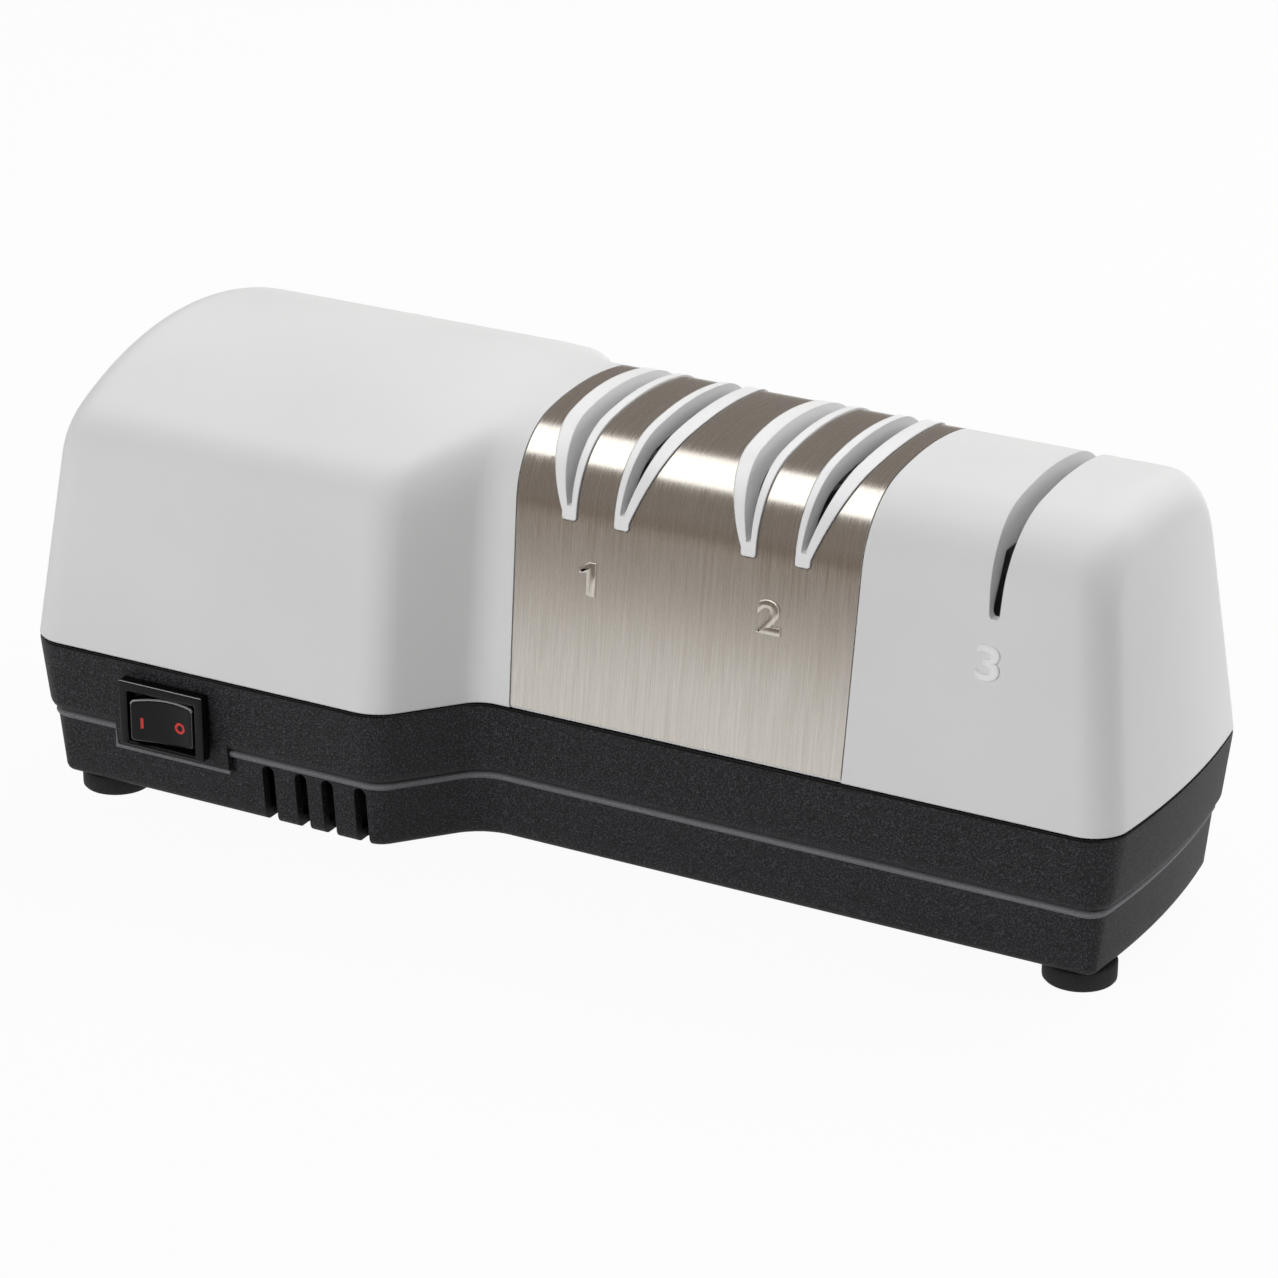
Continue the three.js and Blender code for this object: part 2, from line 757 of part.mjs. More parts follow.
function makeBase() {
  const outer = stack([
    [baseBottom, baseBottomInset],
    [skirtBottom, skirtInset],
    [stepBottom, stepBottomInset],
    [stepTop, stepTopInset],
    [baseTop, 0],
  ]);
  const hollow = stack([
    [floorTop, skirtInset + baseWall],
    [stepBottom, stepBottomInset + baseWall],
    [stepTop, stepTopInset + baseWall],
    [seamHeight + overrun + tongueHeight, baseWall],
  ]);
  const tongueInset = coverWall + fitGap + tongueHeight * Math.tan(sideDraft);
  const tongue = stack([
    [stepTop, tongueInset],
    [seamHeight + tongueHeight, tongueInset],
  ]).subtract(
    stack([
      [stepTop - overrun, tongueInset + tongueThickness],
      [seamHeight + overrun + tongueHeight, tongueInset + tongueThickness],
    ]),
  );
  const pad = upperWall(0).intersect(
    block([padLeft, padRight], [-acrossBody, motorFront + baseWall + skirtInset], [padBottom, baseTop]),
  );
  const bosses = coverScrews.map(({ x, y }) => bar("z", bossRadius, baseBottom, baseTop, { x, y }));
  const motorPosts = motorScrews.map(({ x, y }) =>
    bar("z", motorPostRadius, baseBottom, stackBottom - fitGap, { x, y }),
  );
  const bracketBosses = endBracketScrews.map(({ x, y }) =>
    bar("z", endBracketBossRadius, baseBottom, floorTop + endBracketBossHeight, { x, y }),
  );
  const column = bar("z", columnRadius, baseBottom, columnTop, { x: handCentre, y: 0 });
  const counterbores = [...coverScrews, ...motorScrews].flatMap(({ x, y }, i) => {
    const motor = i >= coverScrews.length;
    const height = motor ? stackBottom - screwBite : counterboreHeight;
    return [
      bar("z", screwHeadRadius + fitGap, baseBottom - overrun, height, { x, y }),
      bar("z", screwShankRadius + fitGap, height - overrun, seamHeight + overrun, { x, y }),
    ];
  });
  const bracketPilots = endBracketScrews.map(({ x, y }) =>
    bar("z", screwShankRadius + fitGap, floorTop, shaftHeight, { x, y }),
  );
  const columnPilot = bar("z", screwShankRadius + fitGap, columnTop - 2 * screwBite, columnTop + overrun, {
    x: handCentre,
    y: 0,
  });
  const footHoles = feet.map(({ x, y }) =>
    bar("z", footStemRadius + fitGap, baseBottom - overrun, floorTop + overrun, { x, y }),
  );
  const hatchHole = block(
    [hatchCentre - hatchLength / 2, hatchCentre + hatchLength / 2],
    [-hatchWidth / 2, hatchWidth / 2],
    [baseBottom - overrun, floorTop + overrun],
  );
  const switchHole = block(
    [switchCentre - switchBodyWidth / 2 - fitGap, switchCentre + switchBodyWidth / 2 + fitGap],
    [-acrossBody, bezelFront + switchDepth],
    [switchHeight - switchBodyHeight / 2 - fitGap, switchHeight + switchBodyHeight / 2 + fitGap],
  );
  const inletHole = bar("y", inletNeckRadius + fitGap, stageHalfDepth, acrossBody, {
    x: inletCentre,
    z: inletHeight,
  });
  const shell = outer.add(pad).subtract(hollow);
  return cut(join([shell, tongue, ...bosses, ...motorPosts, ...bracketBosses, column]), [
    ...counterbores,
    ...bracketPilots,
    columnPilot,
    ...footHoles,
    hatchHole,
    switchHole,
    inletHole,
    ...ventCutters(),
  ]);
}

function makeFoot({ x, y }) {
  const stemTop = floorTop + fitGap;
  const top = baseBottom - fitGap;
  const profile = [
    [0, 0],
    [footRadius - footBevel, 0],
    [footRadius, footBevel],
    [footRadius, top],
    [footStemRadius, top],
    [footStemRadius, stemTop],
    [footHeadRadius, stemTop],
    [footStemRadius, stemTop + footHeadHeight],
    [0, stemTop + footHeadHeight],
  ];
  return turned("z", profile, { x, y });
}

// A headed screw that points up, with the underside of its head at the given height.
function makeScrew({ x, y }, seat, tip) {
  const direction = Math.sign(tip - seat);
  const profile = [
    [0, seat - direction * screwHeadHeight],
    [screwHeadRadius, seat - direction * screwHeadHeight],
    [screwHeadRadius, seat],
    [screwShankRadius, seat],
    [screwShankRadius, tip],
    [0, tip],
  ];
  return turned("z", profile, { x, y });
}

function makeHatch() {
  const length = hatchLength / 2 - fitGap;
  const width = hatchWidth / 2 - fitGap;
  const top = baseBottom + hatchThickness;
  const lid = block([hatchCentre - length, hatchCentre + length], [-width, width], [baseBottom, top]);
  const tabs = [-1, 1].map((side) => {
    const ends = [hatchCentre + side * length, hatchCentre + side * (length - hatchTab)];
    return block(
      ends.sort((a, b) => a - b),
      [-hatchTabWidth / 2, hatchTabWidth / 2],
      [baseBottom, top + hatchTabHeight],
    );
  });
  return join([lid, ...tabs]);
}

function makeMagnet() {
  const bottom = baseBottom + hatchThickness + fitGap;
  return block(
    [hatchCentre - magnetLength / 2, hatchCentre + magnetLength / 2],
    [-magnetWidth / 2, magnetWidth / 2],
    [bottom, bottom + magnetHeight],
  );
}

function makeCordInlet() {
  const centre = { x: inletCentre, z: inletHeight };
  const innerFace = motorHalfDepth - (seamHeight - inletHeight) * upperSlope - baseWall;
  const lean = inletFlangeRadius * upperSlope;
  const innerSeat = innerFace - lean - fitGap;
  const flange = bar("y", inletFlangeRadius, innerFace, inletBack, centre);
  const outside = flange.subtract(upperWall(fitGap));
  const neck = bar("y", inletNeckRadius, innerSeat - inletInnerFlange, inletBack, centre);
  const collar = bar("y", inletFlangeRadius, innerSeat - inletInnerFlange, innerSeat, centre);
  const boreStart = innerSeat - inletInnerFlange - overrun;
  const bore = bar("y", inletBoreRadius, boreStart, acrossBody + overrun, centre);
  return join([outside, neck, collar]).subtract(bore);
}

// Switch

const switchSpan = (width) => [switchCentre - width / 2, switchCentre + width / 2];
const switchRise = (height) => [switchHeight - height / 2, switchHeight + height / 2];

function makeSwitchHousing() {
  const bezelBack = hingeDepth + rockerBodyDepth;
  const bezel = block(switchSpan(bezelWidth), [bezelFront, bezelBack], switchRise(bezelHeight));
  const collar = bezel.subtract(upperWall(fitGap));
  const body = block(
    switchSpan(switchBodyWidth),
    [bezelFront, bezelFront + switchDepth],
    switchRise(switchBodyHeight),
  );
  const room = block(
    switchSpan(rockerWidth + 4 * fitGap),
    [bezelFront - overrun, bezelFront + switchDepth - switchBackWall],
    switchRise(rockerHeight + 2 * fitGap),
  );
  const pinHoles = rockerHeight / 2 + rockerPinLength + fitGap;
  const pinHole = bar("z", rockerPinRadius + fitGap, switchHeight - pinHoles, switchHeight + pinHoles, {
    x: switchCentre,
    y: hingeDepth,
  });
  return cut(collar.add(body), [room, pinHole]);
}

// The rocker is drawn level and then turned to its off position, with the I side out.
function makeRocker() {
  const back = rockerBodyDepth;
  const outline = [
    [-rockerHalfWidth, -rockerCornerRise],
    [-rockerHalfWidth / 2, -rockerCornerRise + rockerDish * dishShare],
    [0, -rockerCornerRise + rockerDish],
    [rockerHalfWidth / 2, -rockerCornerRise + rockerDish * dishShare],
    [rockerHalfWidth, -rockerCornerRise],
    [rockerHalfWidth, 0],
    [rockerHalfWidth / 2, back],
    [-rockerHalfWidth / 2, back],
    [-rockerHalfWidth, 0],
  ];
  const body = prism("z", outline, -rockerHeight / 2, rockerHeight / 2);
  const pinReach = rockerHeight / 2 + rockerPinLength;
  const pins = bar("z", rockerPinRadius, -pinReach, pinReach, { x: 0, y: 0 });
  return body.add(pins);
}

function makeTerminal(side) {
  const middle = switchCentre + (side * terminalSpacing) / 2;
  const back = bezelFront + switchDepth + fitGap;
  return block(
    [middle - terminalThickness / 2, middle + terminalThickness / 2],
    [back, back + terminalLength],
    switchRise(terminalWidth),
  );
}

// Motor

const windowBottom = stackBottom + limbHeight;

function makeStator() {
  const whole = block(
    [stackLeft, stackRight],
    [-stackHalfWidth, stackHalfWidth],
    [stackBottom, stackTop],
  );
  const window = block(
    [stackLeft - overrun, stackRight + overrun],
    [-windowHalfWidth, windowHalfWidth],
    [windowBottom, windowBottom + windowHeight],
  );
  const airGap = 2 * fitGap;
  const bore = bar(
    "x",
    rotorRadius + airGap,
    stackLeft - overrun,
    stackRight + overrun,
    shaftAxis,
    discSteps,
  );
  const boltHoles = [-1, 1].map((side) =>
    bar("x", boltRadius + fitGap, stackLeft - overrun, stackRight + overrun, {
      y: side * boltOffset,
      z: shaftHeight,
    }),
  );
  const screwHoleEnd = stackBottom + motorScrewBite + fitGap;
  const screwHoles = motorScrews.map(({ x, y }) =>
    bar("z", screwShankRadius + fitGap, stackBottom - overrun, screwHoleEnd, { x, y }),
  );
  return cut(whole, [window, bore, ...boltHoles, ...screwHoles]);
}

// A square sleeve round the lower limb of the stack, between two distances from the limb.
function limbSleeve(inner, outer, halfSpan) {
  const size = (grow) => [
    [stackLeft - grow, stackRight + grow],
    [stackBottom - grow, windowBottom + grow],
  ];
  const [outerX, outerZ] = size(outer);
  const [innerX, innerZ] = size(inner);
  return block(outerX, [-halfSpan, halfSpan], outerZ).subtract(
    block(innerX, [-halfSpan - overrun, halfSpan + overrun], innerZ),
  );
}

function makeBobbin() {
  const wall = fitGap + bobbinWall;
  const core = limbSleeve(fitGap, wall, bobbinHalfLength);
  const discs = limbSleeve(fitGap, wall + fitGap + windingThickness, bobbinHalfLength).subtract(
    limbSleeve(0, wall + 2 * windingThickness, bobbinHalfLength - bobbinFlange),
  );
  return join([core, ...discs.decompose()]);
}

function makeWinding() {
  const inner = fitGap + bobbinWall + fitGap;
  return limbSleeve(inner, inner + windingThickness - fitGap, bobbinHalfLength - bobbinFlange - fitGap);
}

// An end bracket: a cross bar with a bearing hub and two stand-offs that reach the stack.
function makeBracket(plate, face) {
  const direction = Math.sign(face - plate);
  const near = direction > 0 ? plate + bracketThickness : plate;
  const outline = [
    [-boltOffset - standOffRadius, -standOffRadius],
    [boltOffset + standOffRadius, -standOffRadius],
    [boltOffset + standOffRadius, standOffRadius],
    [hubRadius, bracketHalfHeight],
    [-hubRadius, bracketHalfHeight],
    [-boltOffset - standOffRadius, standOffRadius],
  ].map(([y, z]) => [y, shaftHeight + z]);
  const crossBar = prism("x", outline, plate, plate + bracketThickness);
  const span = (from, to) => [Math.min(from, to), Math.max(from, to)];
  const hubEnd = near - direction * bracketThickness + direction * hubLength;
  const hub = bar("x", hubRadius, ...span(near - direction * bracketThickness, hubEnd), shaftAxis);
  const standOffs = [-1, 1].map((side) =>
    bar("x", standOffRadius, ...span(near - (direction * bracketThickness) / 2, face - direction * fitGap), {
      y: side * boltOffset,
      z: shaftHeight,
    }),
  );
  const holes = [-1, 1].map((side) =>
    bar("x", boltRadius + fitGap, rearBracketPlate - overrun, fanLeft, {
      y: side * boltOffset,
      z: shaftHeight,
    }),
  );
  const seat = bar(
    "x",
    bearingRadius + fitGap,
    plate - hubLength,
    plate + 2 * hubLength,
    shaftAxis,
    shaftSteps,
  );
  return cut(join([crossBar, hub, ...standOffs]), [seat, ...holes]);
}

function makeBearing(from, to) {
  return bar("x", bearingRadius, from, to, shaftAxis, shaftSteps).subtract(
    bar("x", shaftRadius + fitGap, from - overrun, to + overrun, shaftAxis, shaftSteps),
  );
}

// A long bolt through both brackets and the stack, with a nut formed at its far end.
function makeMotorBolt(side) {
  const from = rearBracketPlate - fitGap;
  const to = frontBracketPlate + bracketThickness + fitGap;
  const profile = [
    [0, from - boltHeadHeight],
    [boltHeadRadius, from - boltHeadHeight],
    [boltHeadRadius, from],
    [boltRadius, from],
    [boltRadius, to],
    [boltHeadRadius, to],
    [boltHeadRadius, to + boltHeadHeight],
    [0, to + boltHeadHeight],
  ];
  return turned("x", profile, { y: side * boltOffset, z: shaftHeight });
}

const pinPlaces = stageCentres.flatMap((centre) => [centre - pinOffset, centre + pinOffset]);

function makeShaft() {
  const shaft = bar("x", shaftRadius, shaftLeft, shaftRight, shaftAxis, shaftSteps);
  const holes = pinPlaces.map((x) =>
    bar("z", pinRadius + fitGap, shaftHeight - pinLength, shaftHeight + pinLength, { x, y: 0 }),
  );
  return cut(shaft, holes);
}

function makeRotorCore() {
  return bar("x", rotorRadius, stackLeft, stackRight, shaftAxis, discSteps).subtract(
    bar("x", shaftRadius + fitGap, stackLeft - overrun, stackRight + overrun, shaftAxis, shaftSteps),
  );
}

function makeFan() {
  const right = fanLeft + fanLength;
  const hub = bar("x", fanHubRadius, fanLeft, right, shaftAxis, shaftSteps);
  const plate = bar("x", fanRadius, right - fanPlate, right, shaftAxis, discSteps);
  const blades = Array.from({ length: bladeCount }, (_, i) => {
    const bladeHeight = fanRadius - fanHubRadius / 2;
    const blade = new THREE.BoxGeometry(fanLength - fanPlate / 2, bladeThickness, bladeHeight);
    blade.translate((fanLeft + right - fanPlate / 2) / 2, 0, (fanRadius + fanHubRadius / 2) / 2);
    blade.rotateX((2 * Math.PI * i) / bladeCount);
    return solid(blade.translate(0, 0, shaftHeight));
  });
  const bore = bar("x", shaftRadius + fitGap, fanLeft - overrun, right + overrun, shaftAxis, shaftSteps);
  return join([hub, plate, ...blades]).subtract(bore);
}

// Grinding disc on one side of its stage: a cone that faces outward, a hub with a pin slot
// and a spring pocket.
function makeDisc(centre, side) {
  const coneRun = (discRadius - discConeRadius) * Math.tan(discConeAngle);
  const pocket = springRadius + springWire + fitGap;
  const bore = shaftRadius + fitGap;
  const profile = [
    [pocket, discInnerOffset],
    [discRadius, discInnerOffset],
    [discRadius, discRimOffset],
    [discConeRadius, discRimOffset + coneRun],
    [discHubRadius, discRimOffset + coneRun],
    [discHubRadius, discHubOffset],
    [bore, discHubOffset],
    [bore, discInnerOffset + springPocketDepth],
    [pocket, discInnerOffset + springPocketDepth],
  ].map(([radius, offset]) => [radius, centre + side * offset]);
  const slotEnd = centre + side * (pinOffset - pinRadius - fitGap);
  const slotMouth = centre + side * (discHubOffset + overrun);
  const slot = block(
    [Math.min(slotEnd, slotMouth), Math.max(slotEnd, slotMouth)],
    [-pinRadius - fitGap, pinRadius + fitGap],
    [shaftHeight - pinLength, shaftHeight + pinLength],
  );
  return turned("x", profile, shaftAxis, discSteps).subtract(slot);
}

class Helix extends THREE.Curve {
  constructor(centre, halfSpan) {
    super();
    this.centre = centre;
    this.halfSpan = halfSpan;
  }
  getPoint(share) {
    const turn = 2 * Math.PI * springTurns * share;
    return new THREE.Vector3(
      this.centre + this.halfSpan * (2 * share - 1),
      springRadius * Math.cos(turn),
      shaftHeight + springRadius * Math.sin(turn),
    );
  }
}

function makeSpring(centre) {
  const halfSpan = discInnerOffset + springPocketDepth - springWire - fitGap;
  const wire = new THREE.Shape();
  wire.absarc(0, 0, springWire, 0, 2 * Math.PI);
  return solid(
    new THREE.ExtrudeGeometry(wire, {
      steps: springTurns * springSteps,
      curveSegments: wireSteps,
      extrudePath: new Helix(centre, halfSpan),
    }),
  );
}

function makePin(x) {
  const bottom = shaftHeight - pinLength / 2;
  return bar("z", pinRadius, bottom, bottom + pinLength, { x, y: 0 }, pinSteps);
}

// Outboard bearing bracket on two bosses of the floor
function makeEndBracket() {
  const footBottom = floorTop + endBracketBossHeight + fitGap;
  const left = endBracketCentre - bracketThickness / 2;
  const outline = [
    [-endBracketHalfWidth, footBottom],
    [endBracketHalfWidth, footBottom],
    [hubRadius, shaftHeight],
    [hubRadius * Math.SQRT1_2, shaftHeight + hubRadius * Math.SQRT1_2],
    [-hubRadius * Math.SQRT1_2, shaftHeight + hubRadius * Math.SQRT1_2],
    [-hubRadius, shaftHeight],
  ];
  const upright = prism("x", outline, left, left + bracketThickness);
  const foot = block(
    [left, endBracketCentre + endBracketFootLength / 2],
    [-endBracketHalfWidth, endBracketHalfWidth],
    [footBottom, footBottom + endBracketFootHeight],
  );
  const hubStart = endBracketCentre - hubLength / 2;
  const hub = bar("x", hubRadius, hubStart, hubStart + hubLength, shaftAxis);
  const seat = bar(
    "x",
    bearingRadius + fitGap,
    endBracketCentre - hubLength,
    endBracketCentre + hubLength,
    shaftAxis,
    shaftSteps,
  );
  const holes = endBracketScrews.map(({ x, y }) =>
    bar("z", screwShankRadius + fitGap, floorTop, footBottom + 2 * endBracketFootHeight, { x, y }),
  );
  return cut(join([upright, foot, hub]), [seat, ...holes]);
}

// Hand stage

function makeHandWheel(side) {
  const inner = handWheelGap / 2;
  const outer = inner + handWheelThickness;
  const bore = handAxleRadius + fitGap;
  const profile = [
    [bore, inner],
    [handWheelInnerRadius, inner],
    [handWheelRadius, outer],
    [bore, outer],
  ].map(([radius, offset]) => [radius, handCentre + side * offset]);
  return turned("x", profile, handAxis, shaftSteps);
}

const cheekInner = handWheelGap / 2 + handWheelThickness + 2 * fitGap;
const cheekOuter = cheekInner + carrierCheek;

function makeCarrier() {
  const bottom = columnTop + fitGap;
  const x = [handCentre - cheekOuter, handCentre + cheekOuter];
  const whole = block(x, [-carrierHalfDepth, carrierHalfDepth], [bottom, handAxleHeight + carrierTopMargin]);
  const room = block(
    [handCentre - cheekInner, handCentre + cheekInner],
    [-carrierHalfDepth - overrun, carrierHalfDepth + overrun],
    [bottom + carrierFoot, cutTop],
  );
  const axleHole = bar("x", handAxleRadius + fitGap, x[0] - overrun, x[1] + overrun, handAxis);
  const screwHole = bar("z", screwShankRadius + fitGap, bottom - overrun, bottom + 2 * carrierFoot, {
    x: handCentre,
    y: 0,
  });
  return cut(whole, [room, axleHole, screwHole]);
}

// Assembly

const sharpener = new THREE.Group();

function addPiece(name, body, finish) {
  const material = new THREE.MeshStandardMaterial(finishes[finish]);
  const mesh = new THREE.Mesh(geometryOf(body), material);
  mesh.name = name;
  sharpener.add(mesh);
  return mesh;
}

addPiece("top_cover", makeTopCover(), "whitePlastic");
addPiece("metal_cover_plate", makePlate(), "brushedSteel");
addPiece("base", makeBase(), "blackPlastic");
feet.forEach((foot) => addPiece(foot.name, makeFoot(foot), "rubber"));
coverScrews.forEach((screw) =>
  addPiece("cover_screw_" + screw.name, makeScrew(screw, counterboreHeight - fitGap, screwTip), "steel"),
);

addPiece("clean_out_hatch", makeHatch(), "blackPlastic");
addPiece("dust_magnet", makeMagnet(), "ferrite");
addPiece("cord_inlet_bushing", makeCordInlet(), "blackPlastic");

addPiece("switch_housing", makeSwitchHousing(), "blackPlastic");
const rocker = addPiece("switch_rocker", makeRocker(), "glossBlack");
rocker.position.set(switchCentre, hingeDepth, switchHeight);
rocker.rotation.z = rockerHalfSwing;
addPiece("switch_terminal_left", makeTerminal(-1), "brass");
addPiece("switch_terminal_right", makeTerminal(1), "brass");

addPiece("stator_core", makeStator(), "laminations");
addPiece("coil_bobbin", makeBobbin(), "bobbinNylon");
addPiece("motor_coil", makeWinding(), "copper");
addPiece("motor_bracket_rear", makeBracket(rearBracketPlate, stackLeft), "aluminium");
addPiece("motor_bracket_front", makeBracket(frontBracketPlate, stackRight), "aluminium");
addPiece("bearing_rear", makeBearing(rearBracketPlate, rearBracketPlate + hubLength), "bronze");
addPiece(
  "bearing_front",
  makeBearing(frontBracketPlate + bracketThickness - hubLength, frontBracketPlate + bracketThickness),
  "bronze",
);
addPiece("motor_bolt_front", makeMotorBolt(-1), "steel");
addPiece("motor_bolt_back", makeMotorBolt(1), "steel");
motorScrews.forEach((screw, i) =>
  addPiece(
    "motor_screw_" + ["front", "back"][i],
    makeScrew(screw, stackBottom - screwBite - fitGap, stackBottom + motorScrewBite),
    "steel",
  ),
);

addPiece("rotor_core", makeRotorCore(), "laminations");
addPiece("main_shaft", makeShaft(), "steel");
addPiece("cooling_fan", makeFan(), "bobbinNylon");
stageCentres.forEach((centre, i) => {
  const stage = "stage" + (i + 1);
  addPiece(stage + "_disc_left", makeDisc(centre, -1), "abrasive");
  addPiece(stage + "_disc_right", makeDisc(centre, 1), "abrasive");
  addPiece(stage + "_spring", makeSpring(centre), "steel");
  addPiece(stage + "_drive_pin_left", makePin(centre - pinOffset), "steel");
  addPiece(stage + "_drive_pin_right", makePin(centre + pinOffset), "steel");
});

addPiece("end_bearing_bracket", makeEndBracket(), "aluminium");
addPiece(
  "end_bearing",
  makeBearing(endBracketCentre - hubLength / 2, endBracketCentre + hubLength / 2),
  "bronze",
);
const bracketScrewSeat = floorTop + endBracketBossHeight + endBracketFootHeight + 2 * fitGap;
endBracketScrews.forEach((screw, i) =>
  addPiece(
    "bracket_screw_" + ["front", "back"][i],
    makeScrew(screw, bracketScrewSeat, floorTop + fitGap),
    "steel",
  ),
);

addPiece("stage3_carrier", makeCarrier(), "blackPlastic");
addPiece(
  "stage3_axle",
  bar("x", handAxleRadius, handCentre - cheekOuter, handCentre + cheekOuter, handAxis),
  "steel",
);
addPiece("stage3_wheel_left", makeHandWheel(-1), "abrasive");
addPiece("stage3_wheel_right", makeHandWheel(1), "abrasive");
addPiece(
  "stage3_carrier_screw",
  makeScrew({ x: handCentre, y: 0 }, columnTop + carrierFoot + 2 * fitGap, columnTop - screwBite),
  "steel",
);

export default sharpener;
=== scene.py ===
"""Looks of the electric knife sharpener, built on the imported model. Sizes below are in millimetres."""

import json
import math

import bmesh
import bpy
from mathutils import Matrix, Vector


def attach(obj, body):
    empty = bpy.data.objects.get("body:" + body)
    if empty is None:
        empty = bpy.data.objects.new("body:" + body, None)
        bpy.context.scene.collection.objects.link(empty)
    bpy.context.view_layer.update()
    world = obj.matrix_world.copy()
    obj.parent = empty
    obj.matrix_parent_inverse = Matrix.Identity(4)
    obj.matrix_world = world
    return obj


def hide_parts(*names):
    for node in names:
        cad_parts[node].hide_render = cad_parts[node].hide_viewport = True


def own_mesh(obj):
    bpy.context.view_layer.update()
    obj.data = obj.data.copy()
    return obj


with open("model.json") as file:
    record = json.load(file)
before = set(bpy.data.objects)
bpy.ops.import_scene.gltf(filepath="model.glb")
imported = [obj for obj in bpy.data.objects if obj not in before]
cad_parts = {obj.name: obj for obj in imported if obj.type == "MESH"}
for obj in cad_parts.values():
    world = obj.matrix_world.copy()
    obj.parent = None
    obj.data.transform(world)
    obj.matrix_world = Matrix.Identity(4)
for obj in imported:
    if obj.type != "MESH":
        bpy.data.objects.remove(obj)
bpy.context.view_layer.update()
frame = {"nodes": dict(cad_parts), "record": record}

MM = 0.001

# Body seen from above, at the seam between cover and base
HALF_LENGTH = 144
MOTOR_HALF_DEPTH = 60.5
STAGE_HALF_DEPTH = 39.9
END_CORNER = 8
END_BOW = 3.2
WAIST_START = -45.5
WAIST_ANGLE = math.radians(50)
WAIST_OUTER = 12
WAIST_INNER = 9.5

# Body seen from the end
SEAM = 42.9
BASE_TOP = 42.6
MOTOR_TOP = 114.8
STAGE_TOP = 113.5
MOTOR_CROWN = 98
STAGE_CROWN = 94.6
MOTOR_SHOULDER = 17
STAGE_SHOULDER = 20.7
SIDE_DRAFT = math.radians(6.7)
END_DRAFT = math.radians(7.5)
COVER_WALL = 2.4
COVER_CUT_FOOT = 3
LEAST_RADIUS = 1.2
LIP = 0.6
WALL_SLOPE = 2 / 17.3

# How finely the body is drawn: steps in its curves, and distances between its points
WAIST_STEPS = 12
WAIST_FLAT_PARTS = 6
END_STEPS = 10
END_PARTS = 12
SIDE_SPACING = 2.4
SHOULDER_TURN = 0.09
CROWN_TURN = 0.03
SECTION_POINTS = 58
INNER_SECTION_POINTS = 34

# Tools that cut through the body reach at least this far
ACROSS = 64
CUT_TOP = 118

# Plate over the powered stages, and the pocket of the cover in which it lies
PLATE_EDGES = [-15.8, 75.2]
PLATE_TAPER = 1.5
PLATE_THICKNESS = 0.6
PLATE_FOOT = 0.8
PLATE_GAP = 0.3
PLATE_SEAT = 0.9

# Slots of the powered stages, with their raised rims
STAGES = [5.9, 53.2]
RIM_PROUD = 0.35
RIM_WALL = 5
RIM_LEAN = math.tan(math.radians(21.6))
RIM_BITE = 0.25
RIM_REACH = (-20, 80)
SHAFT_HEIGHT = 68
DISC_ROOM_RADIUS = 30.5
DISC_ROOM_HALF = 15.1

# Slot of the hand stage, its tip as half width and rise, and the liner inside the cover, of which the part
# above a line of y and z stays
HAND_CENTRE = 108.4
HAND_SLOT_BOTTOM = 89
HAND_TIP = [(0.65, 0), (1.1, 0.5), (1.3, 1.3)]
HAND_FLARE_START = 104
HAND_FLARE_HALF = 1.3 + (HAND_FLARE_START - HAND_SLOT_BOTTOM) * 0.045
HAND_FLARE_LEAN = 0.07
HAND_LINER_FOOT = 87.2
HAND_LINER_WALL = 1.8
HAND_LINER_SUNK = 0.6
HAND_LINER_HALF = 34
HAND_LINER_REACH = 12
HAND_LINER_END = [(ACROSS, CUT_TOP), (ACROSS, 62), (33.8, 88), (24.8, 102)]
WHEEL_ROOM_RADIUS = 11
WHEEL_ROOM_HALF = 5.7
WHEEL_HEIGHT = 81.5

# Numerals: middle, width, height, weight of the strokes and roundness of their edges
NUMERALS = {
    "1": (4.5, 4.7, 8.3, -0.095, 0.1),
    "2": (52.6, 6.4, 8.3, -0.035, 0.085),
    "3": (107.9, 5.9, 8.4, -0.035, 0.06),
}
NUMERAL_HEIGHT = 78.7
NUMERAL_RELIEF = 0.6
STROKE_DEPTH = 0.05
LETTER_SCALE = 12
ONE = [(2.2, 0), (4.6, 0), (4.6, 8.3), (2.9, 8.3), (0, 6.4), (0, 5.1), (2.2, 5.6)]

# Profile of the base as pairs of height and inset, from the underside up
LEDGE_TOP = 22.7
BASE_CORNER = [(5.4, 7.2), (5.7, 6.5), (6.3, 5.8), (7.2, 5.4)]
BASE_SKIRT = [(z, 5.4 - 1.5 * (z - 7.2) / 15) for z in (10, 13, 16, 19, 21.8)]
BASE_GROOVE = [(22.2, 3.84), (LEDGE_TOP, 4.9), (22.9, 4.9), (23.1, 4.3), (23.6, 3.3)]
BASE_STEP = [(24.2, 2.65), (24.9, 2.25), (25.6, 2.02)]
BASE_WALL = [(z, (SEAM - z) * WALL_SLOPE) for z in (26, 29, 32, 35, 38, 41)]
BASE_RIM = [(42.0, 0.1), (42.3, 0.16), (42.5, 0.32), (BASE_TOP, 0.55)]
BASE_HOLLOW = [(8, 8), (22.2, 6.4), (25.6, 4.5), (48, 2.5)]
# Above this height the base's top edge is drawn near-black, as painted shade under the cover's lip
SEAM_SHADE_START = 42.05
FLOOR_TOP = 7.9

# Ledge of the base, drawn paler as a painted highlight, also as height and inset, and the pad round the
# switch
LEDGE = [(21.6, 4.9), (21.2, 4.05), (21.6, 3.6), (22.1, 3.35), (22.5, 3.35), (22.75, 3.6)]
LEDGE += [(22.86, 4), (22.88, 4.9)]
PAD_LEFT = -117
PAD_RIGHT = -84
PAD_BOTTOM = 17.6
PAD_TOP = 42.1
PAD_BACK = -51
PAD_PROUD = 0.06
PAD_CHAMFER = 0.5
PAD_STRIP = 0.9
STRIP_FRONT = 0.45
STRIP_BACK = 3.4

